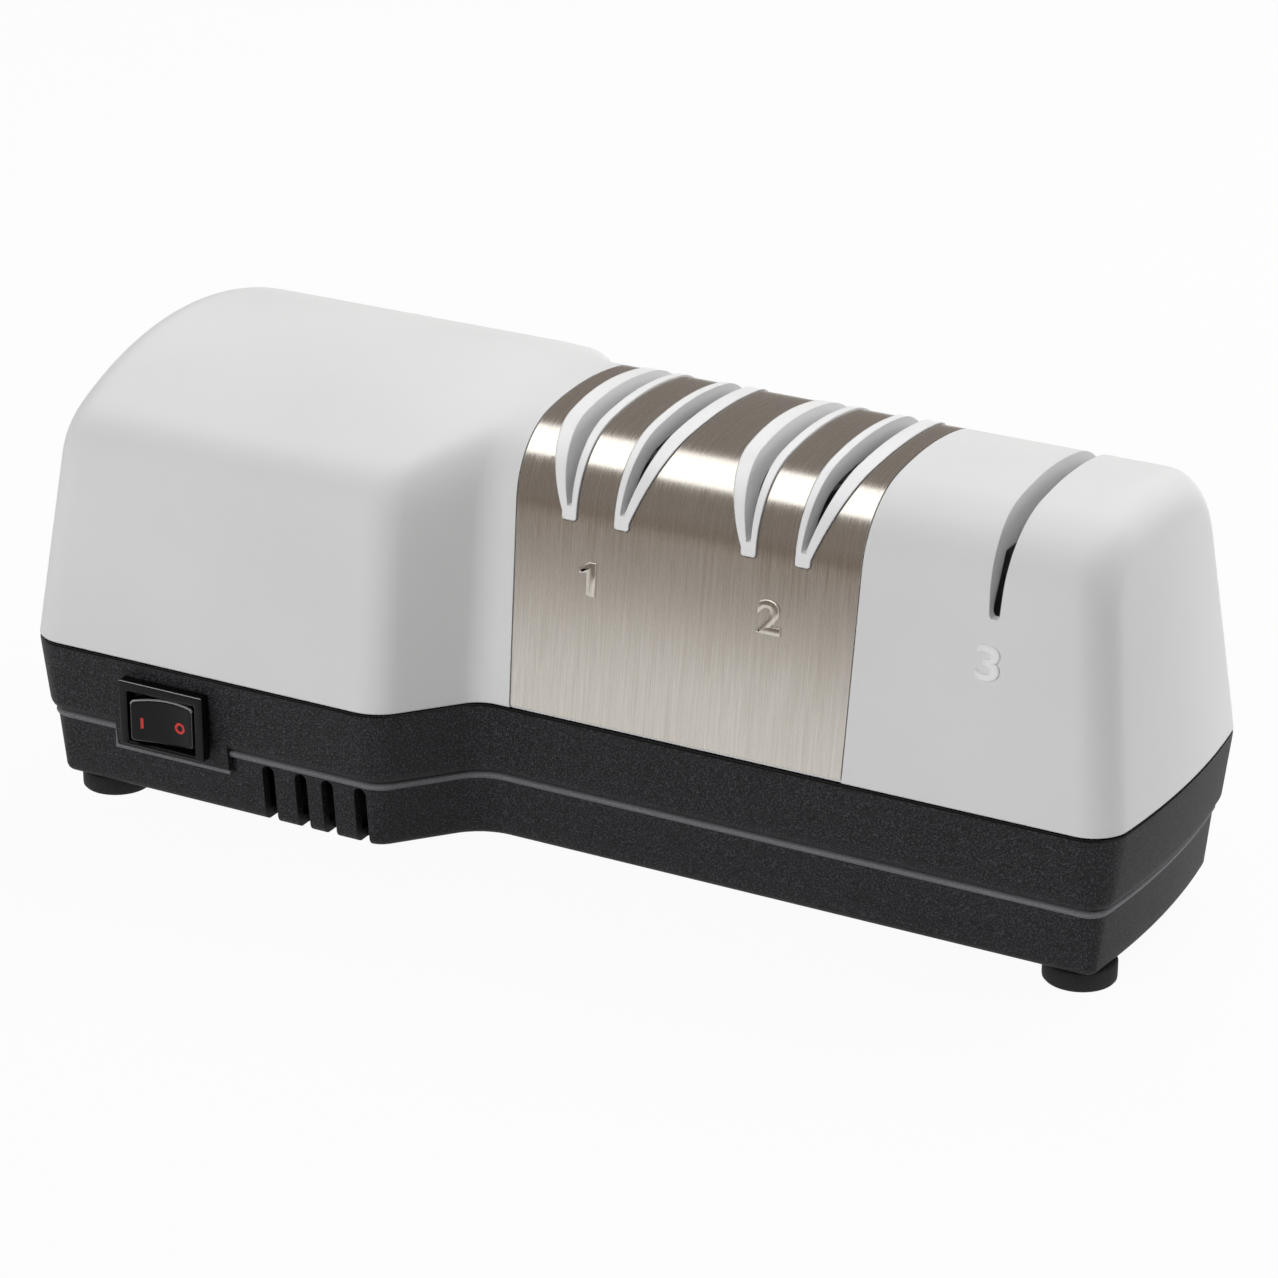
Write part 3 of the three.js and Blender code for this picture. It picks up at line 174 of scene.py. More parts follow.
# Openings of the base: spans in x, y and z
PAD_SHADOW = ((PAD_RIGHT, PAD_RIGHT + 1.5), (-ACROSS, -55.6), (PAD_BOTTOM - 0.2, LEDGE_TOP + 1))
SWITCH_OPENING = ((-111.3, -88.9), (-66, -46), (21.95, 37.55))
HATCH_OPENING = ((-3.45, 62.55), (-20, 20), (2, 12))
VENTS = [-73.4, -64, -56.4, -47]
VENT_HALF = 1.75
VENT_TOP = 19.25
VENT_REACH = (50, 63)

# Screws: five of the cover, whose posts are high, then two of the motor
SCREWS = [(-132, -22), (-132, 22), (-34, -37), (-34, 37), (131, 0), (-94, -25), (-94, 25)]
COVER_POST = 30
MOTOR_POST = 18
POST_CAP = 4
POST_RADIUS = 5.3
HEAD_ROOM = 3.5
PILOT_HOLE = 1.8

# Feet: centres, and profile as radius and height
FEET = {
    "foot_motor_front": (-126.9, -44.6),
    "foot_motor_back": (-126.9, 44.6),
    "foot_stage_front": (128.9, -24.3),
    "foot_stage_back": (116, 24.3),
}
FOOT = [(6.6, 0.35), (7.2, 0), (8.0, 0), (8.45, 0.15), (8.75, 0.5), (8.8, 1.0), (8.8, 4.6)]
FOOT += [(8.55, 4.95), (8.2, 5.1), (2.5, 5.1), (2.5, 8.3), (3.8, 8.3), (2.5, 9.7)]

# Cord inlet: height, hole, and profile of its bushing as radius and depth
INLET_HEIGHT = 34
INLET_HOLE = 5.5
INLET = [(3.6, 54.2), (7.6, 54.2), (7.6, 56.2), (5.2, 56.2), (5.2, 60.0), (7.6, 60.0), (7.6, 62.6)]
INLET += [(7.3, 63.4), (6.6, 63.9), (5.4, 64.6), (4.6, 64.8), (3.9, 64.6), (3.6, 64.2)]

# Springs between the discs
SPRING_RADIUS = 6
SPRING_WIRE = 0.9
SPRING_HALF_SPAN = 5
SPRING_HALF_TURNS = 2
SPRING_TURN_STEPS = 16
WIRE_SIDES = 12

# Bezel of the switch
SWITCH_CENTRE = -100.1
SWITCH_HEIGHT = 29.75
BEZEL_FRONT = -63
BEZEL_BACK = -59.6
BEZEL_HALF_WIDTH = 12.25
BEZEL_BOTTOM = 21.2
BEZEL_TOP = 38.3
FRAME_WIDTH = 2.3
FRAME_NARROWING = 0.95
FRAME_STEP = 0.35
FRAME_STEP_DEPTH = 0.5
WELL_DEPTH = 11
BEZEL_ROUNDING = 0.45

# Rocker: its own frame has its origin on the pin, and its rounded edge is given as inset and drop
HINGE_DEPTH = -60
ROCKER_HALF_WIDTH = 8.4
ROCKER_HALF_HEIGHT = 5.9
ROCKER_CORNER = 0.8
ROCKER_ARCH = 0.1
ROCKER_FRONT = -3.5
ROCKER_DISH = 1.6
ROCKER_EDGE = [(0, 0.5), (0.1, 0.13), (0.34, 0)]
ROCKER_BACK = 5
ROCKER_BACK_HALF = 4.45
ROCKER_DROP = 0.8
ROCKER_SWING = math.radians(9)
# Above this height the rocker's edge takes the brightest painted highlight
BRIGHTEST_HIGHLIGHT_ABOVE = 4
PIN_RADIUS = 1.2
PIN_HALF = 6.9

# Marks on the rocker
MARK_HEIGHT = 28.3
MARK_I = [(-5.95, -1.4), (-5.25, -1.4), (-5.25, 1.4), (-5.95, 1.4)]
MARK_O_CENTRE = 4.5
MARK_O_OUTER = 1.45
MARK_O_INNER = 0.8
MARK_SUNK = 0.04
MARK_PROUD = 0.07

# Camera of the photograph, in metres, with its focal length in pixels of the photograph
FOCAL_LENGTH = 4388.73
PHOTO_WIDTH = 1278
SENSOR = 36
CAMERA_PLACE = (0.4731, -0.8683, 0.4685)
CAMERA_AIM = (-0.001, 0, 0.0489)
CAMERA_ROLL = math.radians(0.25)

# Where the lamps aim, in metres, the light of the world, and the floor with its share of plain white
LAMP_AIM = (0, 0, 0.06)
WORLD_STRENGTH = 0.22
FLOOR_HALF = 4000
FLOOR_WHITE = 0.95


# Materials. A pixel of the photograph covers 0.25 mm, so patterns that are finer on the real piece are drawn
# coarser here, at 0.2 to 0.7 mm, or else they wouldn't show. Each comment gives the real size of such a one.

# Noise seldom leaves this span
NOISE_SPAN = {"From Min": 0.3, "From Max": 0.7}


def linear(code):
    """Colour of an sRGB hex code as linear RGBA."""
    parts = [int(code[i : i + 2], 16) / 255 for i in (0, 2, 4)]
    return [p / 12.92 if p <= 0.04045 else ((p + 0.055) / 1.055) ** 2.4 for p in parts] + [1]


def add(tree, kind, settings=None, inputs=None):
    """Adds a node with its settings; each input gets a value, or a link from an output."""
    made = tree.nodes.new(kind)
    for name, value in (settings or {}).items():
        setattr(made, name, value)
    for name, value in (inputs or {}).items():
        if isinstance(value, bpy.types.NodeSocket):
            tree.links.new(value, made.inputs[name])
        else:
            made.inputs[name].default_value = value
    return made


def start_material(name, values):
    made = bpy.data.materials.new(name)
    made.use_nodes = True
    tree = made.node_tree
    surface = tree.nodes["Principled BSDF"]
    for key, value in values.items():
        surface.inputs[key].default_value = value
    return made, tree, surface


def finish_material(tree, surface, links):
    for name, socket in links.items():
        tree.links.new(socket, surface.inputs[name])


def scaled_place(tree, size, stretch=(1, 1, 1)):
    """Object coordinates in which one unit is the given size in millimetres, per axis if stretched."""
    place = add(tree, "ShaderNodeTexCoord").outputs["Object"]
    scale = [1 / (size * MM * s) for s in stretch]
    return add(tree, "ShaderNodeMapping", None, {"Vector": place, "Scale": scale}).outputs["Vector"]


def mottling(tree, size, stretch=(1, 1, 1), detail=2, roughness=0.5):
    """Soft patches of the given size, drawn out along an axis if stretched."""
    place = scaled_place(tree, size, stretch)
    values = {"Vector": place, "Scale": 1, "Detail": detail, "Roughness": roughness}
    return add(tree, "ShaderNodeTexNoise", None, values).outputs["Fac"]


def two_tones(tree, pattern, colours, span=NOISE_SPAN):
    """A colour that drifts between two tones along a pattern."""
    values = {"Value": pattern, **span, "To Min": 0, "To Max": 1}
    share = add(tree, "ShaderNodeMapRange", None, values).outputs["Result"]
    tones = {"Factor": share, 6: linear(colours[0]), 7: linear(colours[1])}
    return add(tree, "ShaderNodeMix", {"data_type": "RGBA"}, tones).outputs[2]


def relief(tree, pattern, strength, depth, edge=0):
    """Normal of a pattern of the given depth, on a piece whose edges look rounded by a radius."""
    values = {"Height": pattern, "Strength": strength, "Distance": depth * MM}
    if edge:
        rounded = add(tree, "ShaderNodeBevel", {"samples": 4}, {"Radius": edge * MM})
        values["Normal"] = rounded.outputs["Normal"]
    return add(tree, "ShaderNodeBump", None, values).outputs["Normal"]


def painted_edge_highlight(tree, colour, radius, highlight_colour):
    """Makes a colour paler along the edges of a piece, as a painted highlight."""
    flat = add(tree, "ShaderNodeNewGeometry").outputs["Normal"]
    rounded = add(tree, "ShaderNodeBevel", {"samples": 4}, {"Radius": radius * MM}).outputs["Normal"]
    values = {0: flat, 1: rounded}
    agree = add(tree, "ShaderNodeVectorMath", {"operation": "DOT_PRODUCT"}, values).outputs["Value"]
    values = {"Value": agree, "From Min": 0.82, "From Max": 0.97, "To Min": 1, "To Max": 0}
    edge = add(tree, "ShaderNodeMapRange", None, values).outputs["Result"]
    values = {"Factor": edge, 6: colour, 7: linear(highlight_colour)}
    return add(tree, "ShaderNodeMix", {"data_type": "RGBA"}, values).outputs[2]


def grained(name, base, colours, roughness, grain, depth, strength, clouds, stretch=(1, 1, 1), edge=0):
    """Two tones in broad clouds, under a fine grain that drives both the gloss and the relief."""
    made, tree, surface = start_material(name, base)
    broad = mottling(tree, clouds, detail=3)
    fine = mottling(tree, grain, stretch, detail=3, roughness=0.6)
    gloss = {"Value": fine, **NOISE_SPAN, "To Min": roughness[0], "To Max": roughness[1]}
    links = {
        "Base Color": two_tones(tree, broad, colours),
        "Roughness": add(tree, "ShaderNodeMapRange", None, gloss).outputs["Result"],
        "Normal": relief(tree, fine, strength, depth, edge),
    }
    finish_material(tree, surface, links)
    return made


def moulded(name, colours, roughness, grain, depth, edge=0.3, clouds=60, shine=0.5):
    """Injection-moulded plastic: the grain of its mould, and faint clouding in colour and gloss."""
    base = {"Specular IOR Level": shine}
    return grained(name, base, colours, roughness, grain, depth, 0.5, clouds, edge=edge)


def metal(name, colours, roughness, grain, depth, stretch=(1, 1, 1)):
    """Bare metal with a grain; stretching the grain along an axis makes it turned, drawn or stacked."""
    return grained(name, {"Metallic": 1}, colours, roughness, grain, depth, 0.4, 12, stretch)


def grained_plastic(name, colours, glint_colour, highlight_colour):
    """Black spark-eroded ABS: pits 0.1 mm across on the real piece, with painted glints and edge highlights.
    """
    made, tree, surface = start_material(name, {"Specular IOR Level": 0.16})
    pits = mottling(tree, 0.4, detail=4, roughness=0.7)
    broad = mottling(tree, 45, detail=3)
    points = {
        "Value": mottling(tree, 0.4),
        "From Min": 0.47,
        "From Max": 0.72,
        "To Min": 0,
        "To Max": 1,
    }
    glint_share = add(tree, "ShaderNodeMapRange", None, points).outputs["Result"]
    tones = {"Factor": glint_share, 6: two_tones(tree, broad, colours), 7: linear(glint_colour)}
    ground = add(tree, "ShaderNodeMix", {"data_type": "RGBA"}, tones).outputs[2]
    gloss = {"Value": pits, **NOISE_SPAN, "To Min": 0.45, "To Max": 0.65}
    links = {
        "Base Color": painted_edge_highlight(tree, ground, 0.3, highlight_colour),
        "Roughness": add(tree, "ShaderNodeMapRange", None, gloss).outputs["Result"],
        "Normal": relief(tree, pits, 0.6, 0.12, 0.35),
    }
    finish_material(tree, surface, links)
    return made


def brushed_steel():
    """Stainless sheet brushed along its wrap, so every line runs up the front and over the top.

    The lines draw each light out across them into a broad band. Real ones are 0.05 mm wide.
    """
    values = {"Metallic": 1, "Anisotropic": 0.85, "Anisotropic Rotation": 0.25}
    made, tree, surface = start_material("brushed_stainless_steel", values)
    lines = mottling(tree, 0.2, (1, 100, 100), detail=3, roughness=0.7)
    bands = mottling(tree, 0.45, (1, 60, 60), detail=4, roughness=0.8)
    clouds = mottling(tree, 40)
    fine = {"Value": lines, **NOISE_SPAN, "To Min": 0.2, "To Max": 0.36}
    broad = {"Value": clouds, **NOISE_SPAN, "To Min": -0.02, "To Max": 0.02}
    shares = {
        0: add(tree, "ShaderNodeMapRange", None, fine).outputs["Result"],
        1: add(tree, "ShaderNodeMapRange", None, broad).outputs["Result"],
    }
    tangent = add(tree, "ShaderNodeTangent", {"direction_type": "RADIAL", "axis": "X"})
    links = {
        "Base Color": two_tones(tree, bands, ("c4beb5", "d6d1ca")),
        "Roughness": add(tree, "ShaderNodeMath", {"operation": "ADD"}, shares).outputs[0],
        "Normal": relief(tree, lines, 0.25, 0.02, 0.3),
        "Tangent": tangent.outputs["Tangent"],
    }
    finish_material(tree, surface, links)
    return made


def bonded_grit():
    """Diamond grit set in a nickel coat: grey and rough, with a bright point at each of its 0.1 mm grains."""
    made, tree, surface = start_material("diamond_grit_in_nickel", {})
    place = scaled_place(tree, 0.35)
    grains = add(tree, "ShaderNodeTexVoronoi", None, {"Vector": place, "Scale": 1})
    near = grains.outputs["Distance"]
    shine = {"Value": near, "From Min": 0, "From Max": 0.5, "To Min": 0.8, "To Max": 0.3}
    gloss = {"Value": near, "From Min": 0, "From Max": 0.5, "To Min": 0.35, "To Max": 0.75}
    links = {
        "Base Color": two_tones(tree, near, ("a9aba8", "6d6f6e"), {"From Min": 0, "From Max": 0.6}),
        "Metallic": add(tree, "ShaderNodeMapRange", None, shine).outputs["Result"],
        "Roughness": add(tree, "ShaderNodeMapRange", None, gloss).outputs["Result"],
        "Normal": relief(tree, near, 0.6, 0.12),
    }
    finish_material(tree, surface, links)
    return made


# ABS from a satin mould: an even soft sheen that mirrors nothing. Real grain 0.05 mm.
white_abs = moulded("satin_white_abs", ("d8d8d8", "dddddd"), (0.42, 0.52), 0.45, 0.03, 0.35, shine=0.28)
# The cover's ABS, glossier as from a polished mould, and painted brighter as light on the rims' tops. Real
# grain 0.05 mm.
lit_white_abs = moulded("painted_lit_white_abs", ("e8e8e8", "eeeeee"), (0.3, 0.4), 0.45, 0.02, 0.5)
# The cover's own white and gloss on the slot walls, left darker than the painted-brighter rims, so the slots
# look deep.
slot_abs = moulded("shaded_white_abs", ("d8d8d9", "dedede"), (0.42, 0.52), 0.45, 0.02, 0.3, shine=0.28)
# ABS from a spark-eroded mould: dark and matt, with close pale points and pale edges painted in as
# highlights.
black_abs = grained_plastic("black_textured_abs", ("151416", "1a191b"), "4a484c", "403e41")
# The same ABS painted grey on the ledge as a highlight line, with its points and edges painted paler still.
highlight_ledge_abs = grained_plastic("painted_highlight_black_abs", ("676568", "6f6d70"), "858386", "7d7b7e")
# Nylon from a polished mould: the deepest black of the object, with soft clear lights. Real grain 0.05 mm.
# On the base's top edge, under the cover's lip, it stands for the shade in the seam.
gloss_abs = moulded("gloss_black_nylon", ("060607", "0a0a0b"), (0.22, 0.32), 0.5, 0.012, 0.3, shine=0.2)
# The same nylon painted pale on the upper edges of the switch: thin painted highlight lines.
highlight_abs = moulded("painted_highlight_black_nylon", ("88888a", "949496"), (0.2, 0.3), 0.5, 0.012, 0.3)
# The same nylon on the other edges of the rocker: a fainter painted highlight, only a little paler than its
# face.
faint_highlight_abs = moulded("painted_faint_highlight_black_nylon", ("2c2c2e", "343436"), (0.25, 0.35), 0.5, 0.012, 0.3)
# Vulcanised rubber: a powdery black that hardly takes a light. Real grain 0.05 mm.
rubber = moulded("black_rubber", ("131313", "191919"), (0.72, 0.9), 0.4, 0.05, edge=0.4)
# Pad-printed paint: an opaque flat red, a little uneven where the film is thin.
red_ink = moulded("red_paint", ("c22a22", "cf3830"), (0.4, 0.5), 0.3, 0.01, edge=0, clouds=4)
plate_steel = brushed_steel()
cad_materials = {
    "white_plastic": white_abs,
    "brushed_plate": plate_steel,
    "black_plastic": black_abs,
    "gloss_black": gloss_abs,
    "rubber": rubber,
    # Electroplated zinc on turned steel: cool and pale, with clear soft lights
    "steel": metal("zinc_plated_steel", ("a7aab0", "b9bcc2"), (0.2, 0.34), 0.3, 0.01),
    # Stamped sheets, 0.5 mm thick, stacked along the shaft: dark, with one fine line for each sheet
    "laminations": metal(
        "silicon_steel_laminations", ("55575b", "6d6f73"), (0.4, 0.65), 0.5, 0.06, (1, 80, 80)
    ),
    # Die-cast aluminium: pale, dull and slightly pitted, as it leaves the die
    "cast_aluminium": metal("die_cast_aluminium", ("b4b7bb", "c6c8cb"), (0.38, 0.55), 0.7, 0.05),
    # Sintered bronze, full of pores for its oil: brown and dull. Real pores 0.05 mm.
    "bronze": metal("sintered_bronze", ("8d6236", "a87a48"), (0.4, 0.6), 0.25, 0.03),
    # Copper wire, 0.3 mm thick, wound round an upright coil: red-brown turns under clear enamel
    "copper": metal("enamelled_copper_wire", ("a44e28", "bb6436"), (0.22, 0.36), 0.5, 0.12, (80, 80, 1)),
    # Rolled brass strip: yellow, with faint lines along the rolling
    "brass": metal("rolled_brass", ("c4a04a", "d0ae5c"), (0.25, 0.38), 0.3, 0.01, (1, 12, 1)),
    "abrasive": bonded_grit(),
    # Pressed and fired ferrite: dark grey, dull and faintly mottled
    "ferrite": moulded("ferrite_ceramic", ("37373a", "424246"), (0.5, 0.7), 0.4, 0.03),
    # Nylon without dye: a warm, slightly waxy off-white
    "nylon": moulded("natural_nylon", ("dcd7c6", "e6e2d4"), (0.35, 0.5), 0.5, 0.02),
}
slots = {entry["node"]: entry["material_slot"] for entry in frame["record"]["subparts"]}
for node_name, node_object in frame["nodes"].items():
    node_object.data.materials.clear()
    node_object.data.materials.append(cad_materials[slots[node_name]])


# Mesh helpers

def piece_from(name, bm, material):
    """An object in metres from a mesh drawn in millimetres, with its normals turned outward."""
    bmesh.ops.recalc_face_normals(bm, faces=bm.faces)
    bmesh.ops.scale(bm, vec=(MM, MM, MM), verts=bm.verts)
    mesh = bpy.data.meshes.new(name)
    bm.to_mesh(mesh)
    bm.free()
    made = bpy.data.objects.new(name, mesh)
    bpy.context.scene.collection.objects.link(made)
    if material:
        mesh.materials.append(material)
    return made


def mesh_of(piece):
    """The mesh of a piece back in millimetres; the piece itself goes."""
    bm = bmesh.new()
    bm.from_mesh(piece.data)
    bmesh.ops.scale(bm, vec=(1 / MM,) * 3, verts=bm.verts)
    bpy.data.objects.remove(piece)
    return bm


def add_loft(bm, rings, caps=True):
    """Skins rings of points that all have the same count, and closes both ends."""
    rows = [[bm.verts.new(point) for point in ring] for ring in rings]
    for lower, upper in zip(rows, rows[1:]):
        for i, corner in enumerate(lower):
            j = (i + 1) % len(lower)
            bm.faces.new((corner, lower[j], upper[j], upper[i]))
    if caps:
        bm.faces.new(rows[0])
        bm.faces.new(rows[-1])
    return rows


def add_closed_loft(bm, rings, merge=1e-5):
    """Skins rings and joins the last one to the first."""
    add_loft(bm, rings + [rings[0]], caps=False)
    bmesh.ops.remove_doubles(bm, verts=bm.verts, dist=merge)


def add_prism(bm, axis, outline, start, end):
    """A prism along an axis; its outline lies in the other two axes, in x, y, z order."""
    def place(u, v, w):
        return {"x": (w, u, v), "y": (u, w, v), "z": (u, v, w)}[axis]

    add_loft(bm, [[place(u, v, w) for u, v in outline] for w in (start, end)])


def add_box(bm, x, y, z):
    add_prism(bm, "x", [(y[0], z[0]), (y[1], z[0]), (y[1], z[1]), (y[0], z[1])], *x)


def circle(radius, steps, centre=(0, 0)):
    turns = [2 * math.pi * i / steps for i in range(steps)]
    return [(centre[0] + radius * math.cos(t), centre[1] + radius * math.sin(t)) for t in turns]


def add_bar(bm, axis, radius, start, end, centre, steps=48):
    add_prism(bm, axis, circle(radius, steps, centre), start, end)


def turned_rings(profile, centre, steps=64, axis="z"):
    """Rings of a body turned round an axis, from pairs of radius and place along it."""
    rings = []
    for radius, along in profile:
        points = circle(radius, steps, centre)
        rings.append([(u, v, along) if axis == "z" else (u, along, v) for u, v in points])
    return rings


def combine(piece, operation, bm):
    """Cuts, joins or intersects a piece with a tool mesh that is drawn in millimetres."""
    tool = piece_from("tool", bm, None)
    modifier = piece.modifiers.new("combine", "BOOLEAN")
    modifier.operation = operation
    modifier.solver = "EXACT"
    modifier.object = tool
    graph = bpy.context.evaluated_depsgraph_get()
    result = bpy.data.meshes.new_from_object(piece.evaluated_get(graph))
    piece.modifiers.clear()
    piece.data = result
    bpy.data.objects.remove(tool)


def smooth(piece, angle):
    piece.data.shade_smooth()
    piece.data.set_sharp_from_angle(angle=math.radians(angle))


def put_in_place(piece, body, nodes=()):
    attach(piece, body)
    if nodes:
        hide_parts(*nodes)


def spaced(start, end, step):
    """Places from start to end, about a step apart, without the last one."""
    count = max(1, round(abs(end - start) / step))
    return [start + (end - start) * i / count for i in range(count)]


# Outline of the body from above

def waist_stations(inset):
    """Place and half depth along the waist: a curve out, a straight and a curve in."""
    drop = MOTOR_HALF_DEPTH - STAGE_HALF_DEPTH
    bend = (WAIST_OUTER + WAIST_INNER) * (1 - math.cos(WAIST_ANGLE))
    slope = (drop - bend) / math.sin(WAIST_ANGLE)
    length = (WAIST_OUTER + WAIST_INNER) * math.sin(WAIST_ANGLE) + slope * math.cos(WAIST_ANGLE)
    end = WAIST_START + length
    outer, inner = WAIST_OUTER - inset, WAIST_INNER + inset
    turns = [WAIST_ANGLE * i / WAIST_STEPS for i in range(WAIST_STEPS + 1)]
    first = [
        (WAIST_START + outer * math.sin(t), MOTOR_HALF_DEPTH - WAIST_OUTER + outer * math.cos(t))
        for t in turns
    ]
    second = [
        (end - inner * math.sin(t), STAGE_HALF_DEPTH + WAIST_INNER - inner * math.cos(t))
        for t in reversed(turns)
    ]
    share = [i / WAIST_FLAT_PARTS for i in range(1, WAIST_FLAT_PARTS)]
    (x0, y0), (x1, y1) = first[-1], second[0]
    straight = [(x0 + (x1 - x0) * s, y0 + (y1 - y0) * s) for s in share]
    return first + straight + second


def end_stations(inset):
    """Distance from the middle, and drop of the rounding, at the corner of an end."""
    radius = max(END_CORNER - inset, LEAST_RADIUS)
    reach = HALF_LENGTH - inset
    turns = [math.pi / 2 * i / END_STEPS for i in range(END_STEPS + 1)]
    return [(reach - radius + radius * math.cos(t), radius * (1 - math.sin(t))) for t in turns]


def bow(y, half_depth):
    return END_BOW * (y / half_depth) ** 2


def full_depth(share):
    """Half depth of the body at the seam, for a share of the motor section."""
    return STAGE_HALF_DEPTH + (MOTOR_HALF_DEPTH - STAGE_HALF_DEPTH) * share


def body_stations(inset, step=2.2):
    """Stations along the body: place, half depth, rounding drop, share of the motor section, and end."""
    left = [(-x, MOTOR_HALF_DEPTH - inset - edge, edge, 1, -1) for x, edge in end_stations(inset)]
    waist = []
    for x, half in waist_stations(inset):
        share = (half + inset - STAGE_HALF_DEPTH) / (MOTOR_HALF_DEPTH - STAGE_HALF_DEPTH)
        waist.append((x, half, 0, share, 0))
    right = [(x, STAGE_HALF_DEPTH - inset - edge, edge, 0, 1) for x, edge in end_stations(inset)]
    right.reverse()

    def between(a, b):
        """Stations between two that differ in place only, with the bow fading from an end."""
        made = []
        for x in spaced(a[0], b[0], step)[1:]:
            share = (x - a[0]) / (b[0] - a[0])
            made.append((x, a[1] + (b[1] - a[1]) * share, 0, a[3], a[4] * (1 - share) + b[4] * share))
        return made

    return left + between(left[-1], waist[0]) + waist + between(waist[-1], right[0]) + right


def plan_outline(inset, step=3):
    """The whole outline of the body at an inset, with its bowed ends."""
    stations = body_stations(inset, step)
    points = [(x - side * bow(half, full_depth(share)), half) for x, half, _, share, side in stations]
    faces = {}
    for side in (-1, 1):
        x, half = stations[0 if side < 0 else -1][:2]
        full = MOTOR_HALF_DEPTH if side < 0 else STAGE_HALF_DEPTH
        shares = [i / END_STEPS for i in range(END_STEPS - 1, -END_STEPS, -1)]
        faces[side] = [(x - side * bow(half * s, full), half * s) for s in shares]
    front = [(x, -y) for x, y in reversed(points)]
    return points + faces[1] + front + list(reversed(faces[-1]))


# Cover

def half_section(half, top, crown, shoulder, foot=0.0, lip=0.0):
    """Half of a section, from the foot of the side over the shoulder to the middle of the crown."""
    crown_centre = Vector((0, top - crown))
    up = Vector((-math.sin(SIDE_DRAFT), math.cos(SIDE_DRAFT)))
    out = Vector((math.cos(SIDE_DRAFT), math.sin(SIDE_DRAFT)))
    start = Vector((half, SEAM))
    offset = start - out * shoulder - crown_centre
    along = offset.dot(up)
    climb = -along + math.sqrt(along**2 - offset.length_squared + (crown - shoulder) ** 2)
    shoulder_centre = start - out * shoulder + up * climb
    line = shoulder_centre - crown_centre
    meet = math.atan2(line.y, line.x)
    if lip:
        turns = [math.pi / 2 * i / 4 for i in range(4)]
        points = [start - out * lip * (1 - math.sin(t)) + up * lip * (1 - math.cos(t)) for t in turns]
    else:
        points = [start - up * (foot / math.cos(SIDE_DRAFT))]
    points += [start + up * s for s in spaced(lip, climb, SIDE_SPACING)]
    for centre, radius, turns in (
        (shoulder_centre, shoulder, spaced(SIDE_DRAFT, meet, SHOULDER_TURN)),
        (crown_centre, crown, spaced(meet, math.pi / 2, CROWN_TURN) + [math.pi / 2]),
    ):
        points += [centre + Vector((math.cos(t), math.sin(t))) * radius for t in turns]
    return [(p.x, p.y) for p in points]


def resampled(points, count):
    """The same line with a fixed number of points, spread evenly along it."""
    steps = [math.dist(a, b) for a, b in zip(points, points[1:])]
    total = sum(steps)
    made, i, gone = [points[0]], 0, 0.0
    for k in range(1, count - 1):
        goal = total * k / (count - 1)
        while gone + steps[i] < goal:
            gone += steps[i]
            i += 1
        share = (goal - gone) / steps[i]
        (ax, ay), (bx, by) = points[i], points[i + 1]
        made.append((ax + (bx - ax) * share, ay + (by - ay) * share))
    return made + [points[-1]]


def section_at(half, inset=0, edge=0, share=0, foot=0, lip=0):
    """Half section at a half depth, for an inset, a rounding drop and a share of the motor section."""
    def mixed(stage, motor):
        return stage + (motor - stage) * share - inset - edge

    return half_section(
        half,
        mixed(STAGE_TOP, MOTOR_TOP),
        mixed(STAGE_CROWN, MOTOR_CROWN),
        max(mixed(STAGE_SHOULDER, MOTOR_SHOULDER), LEAST_RADIUS),
        foot,
        lip,
    )


def add_envelope(bm, inset, foot=0.0, lip=0.0, count=SECTION_POINTS):
    """The whole body above the seam, drawn in by an inset and started below the seam by a foot."""
    stations = []
    for x, half, edge, share, side in body_stations(inset):
        full = full_depth(share)
        head = 4 if lip else 1
        line = section_at(half, inset, edge, share, foot, lip)
        line = line[:head] + resampled(line[head:], count)

        def place(y, z, x=x, full=full, side=side):
            low = max(0.0, SEAM + lip - z) if lip else 0.0
            tuck = lip - math.sqrt(max(lip**2 - low**2, 0)) if low else 0.0
            lean = (z - SEAM) * math.tan(END_DRAFT)
            return (x - side * (bow(y, full) + lean + tuck), y, z)

        stations.append((line, place))
    rings = []
    for line, place in stations:
        front = [place(-y, z) for y, z in line]
        back = [place(y, z) for y, z in line[:-1]]
        rings.append(front + list(reversed(back)))
    rows = add_loft(bm, rings, caps=False)
    shares = [i / END_PARTS for i in range(END_PARTS - 1, -END_PARTS, -1)]
    for (line, place), ring in ((stations[0], rows[0]), (stations[-1], rows[-1])):
        grid = []
        for i, (y, z) in enumerate(line[:-1]):
            inner = [bm.verts.new(place(-y * s, z)) for s in shares]
            grid.append([ring[i]] + inner + [ring[len(ring) - 1 - i]])
        for lower, upper in zip(grid, grid[1:]):
            for j in range(len(lower) - 1):
                bm.faces.new((lower[j], lower[j + 1], upper[j + 1], upper[j]))
        peak = ring[len(line) - 1]
        last = grid[-1]
        for j in range(len(last) - 1):
            bm.faces.new((last[j], last[j + 1], peak))
        bm.faces.new(grid[0])


def wrap_line(inset, bottom, count):
    """The line of the stage section from the front foot over the top to the back foot."""
    half = STAGE_HALF_DEPTH - inset
    line = section_at(half, inset, foot=SEAM - bottom if bottom < SEAM else 0)
    if bottom > SEAM:
        low = half - (bottom - SEAM) * math.tan(SIDE_DRAFT)
        line = [(low, bottom)] + [point for point in line if point[1] > bottom + 0.5]
    line = resampled(line, count)
    return [(-y, z) for y, z in line] + [(y, z) for y, z in reversed(line[:-1])]


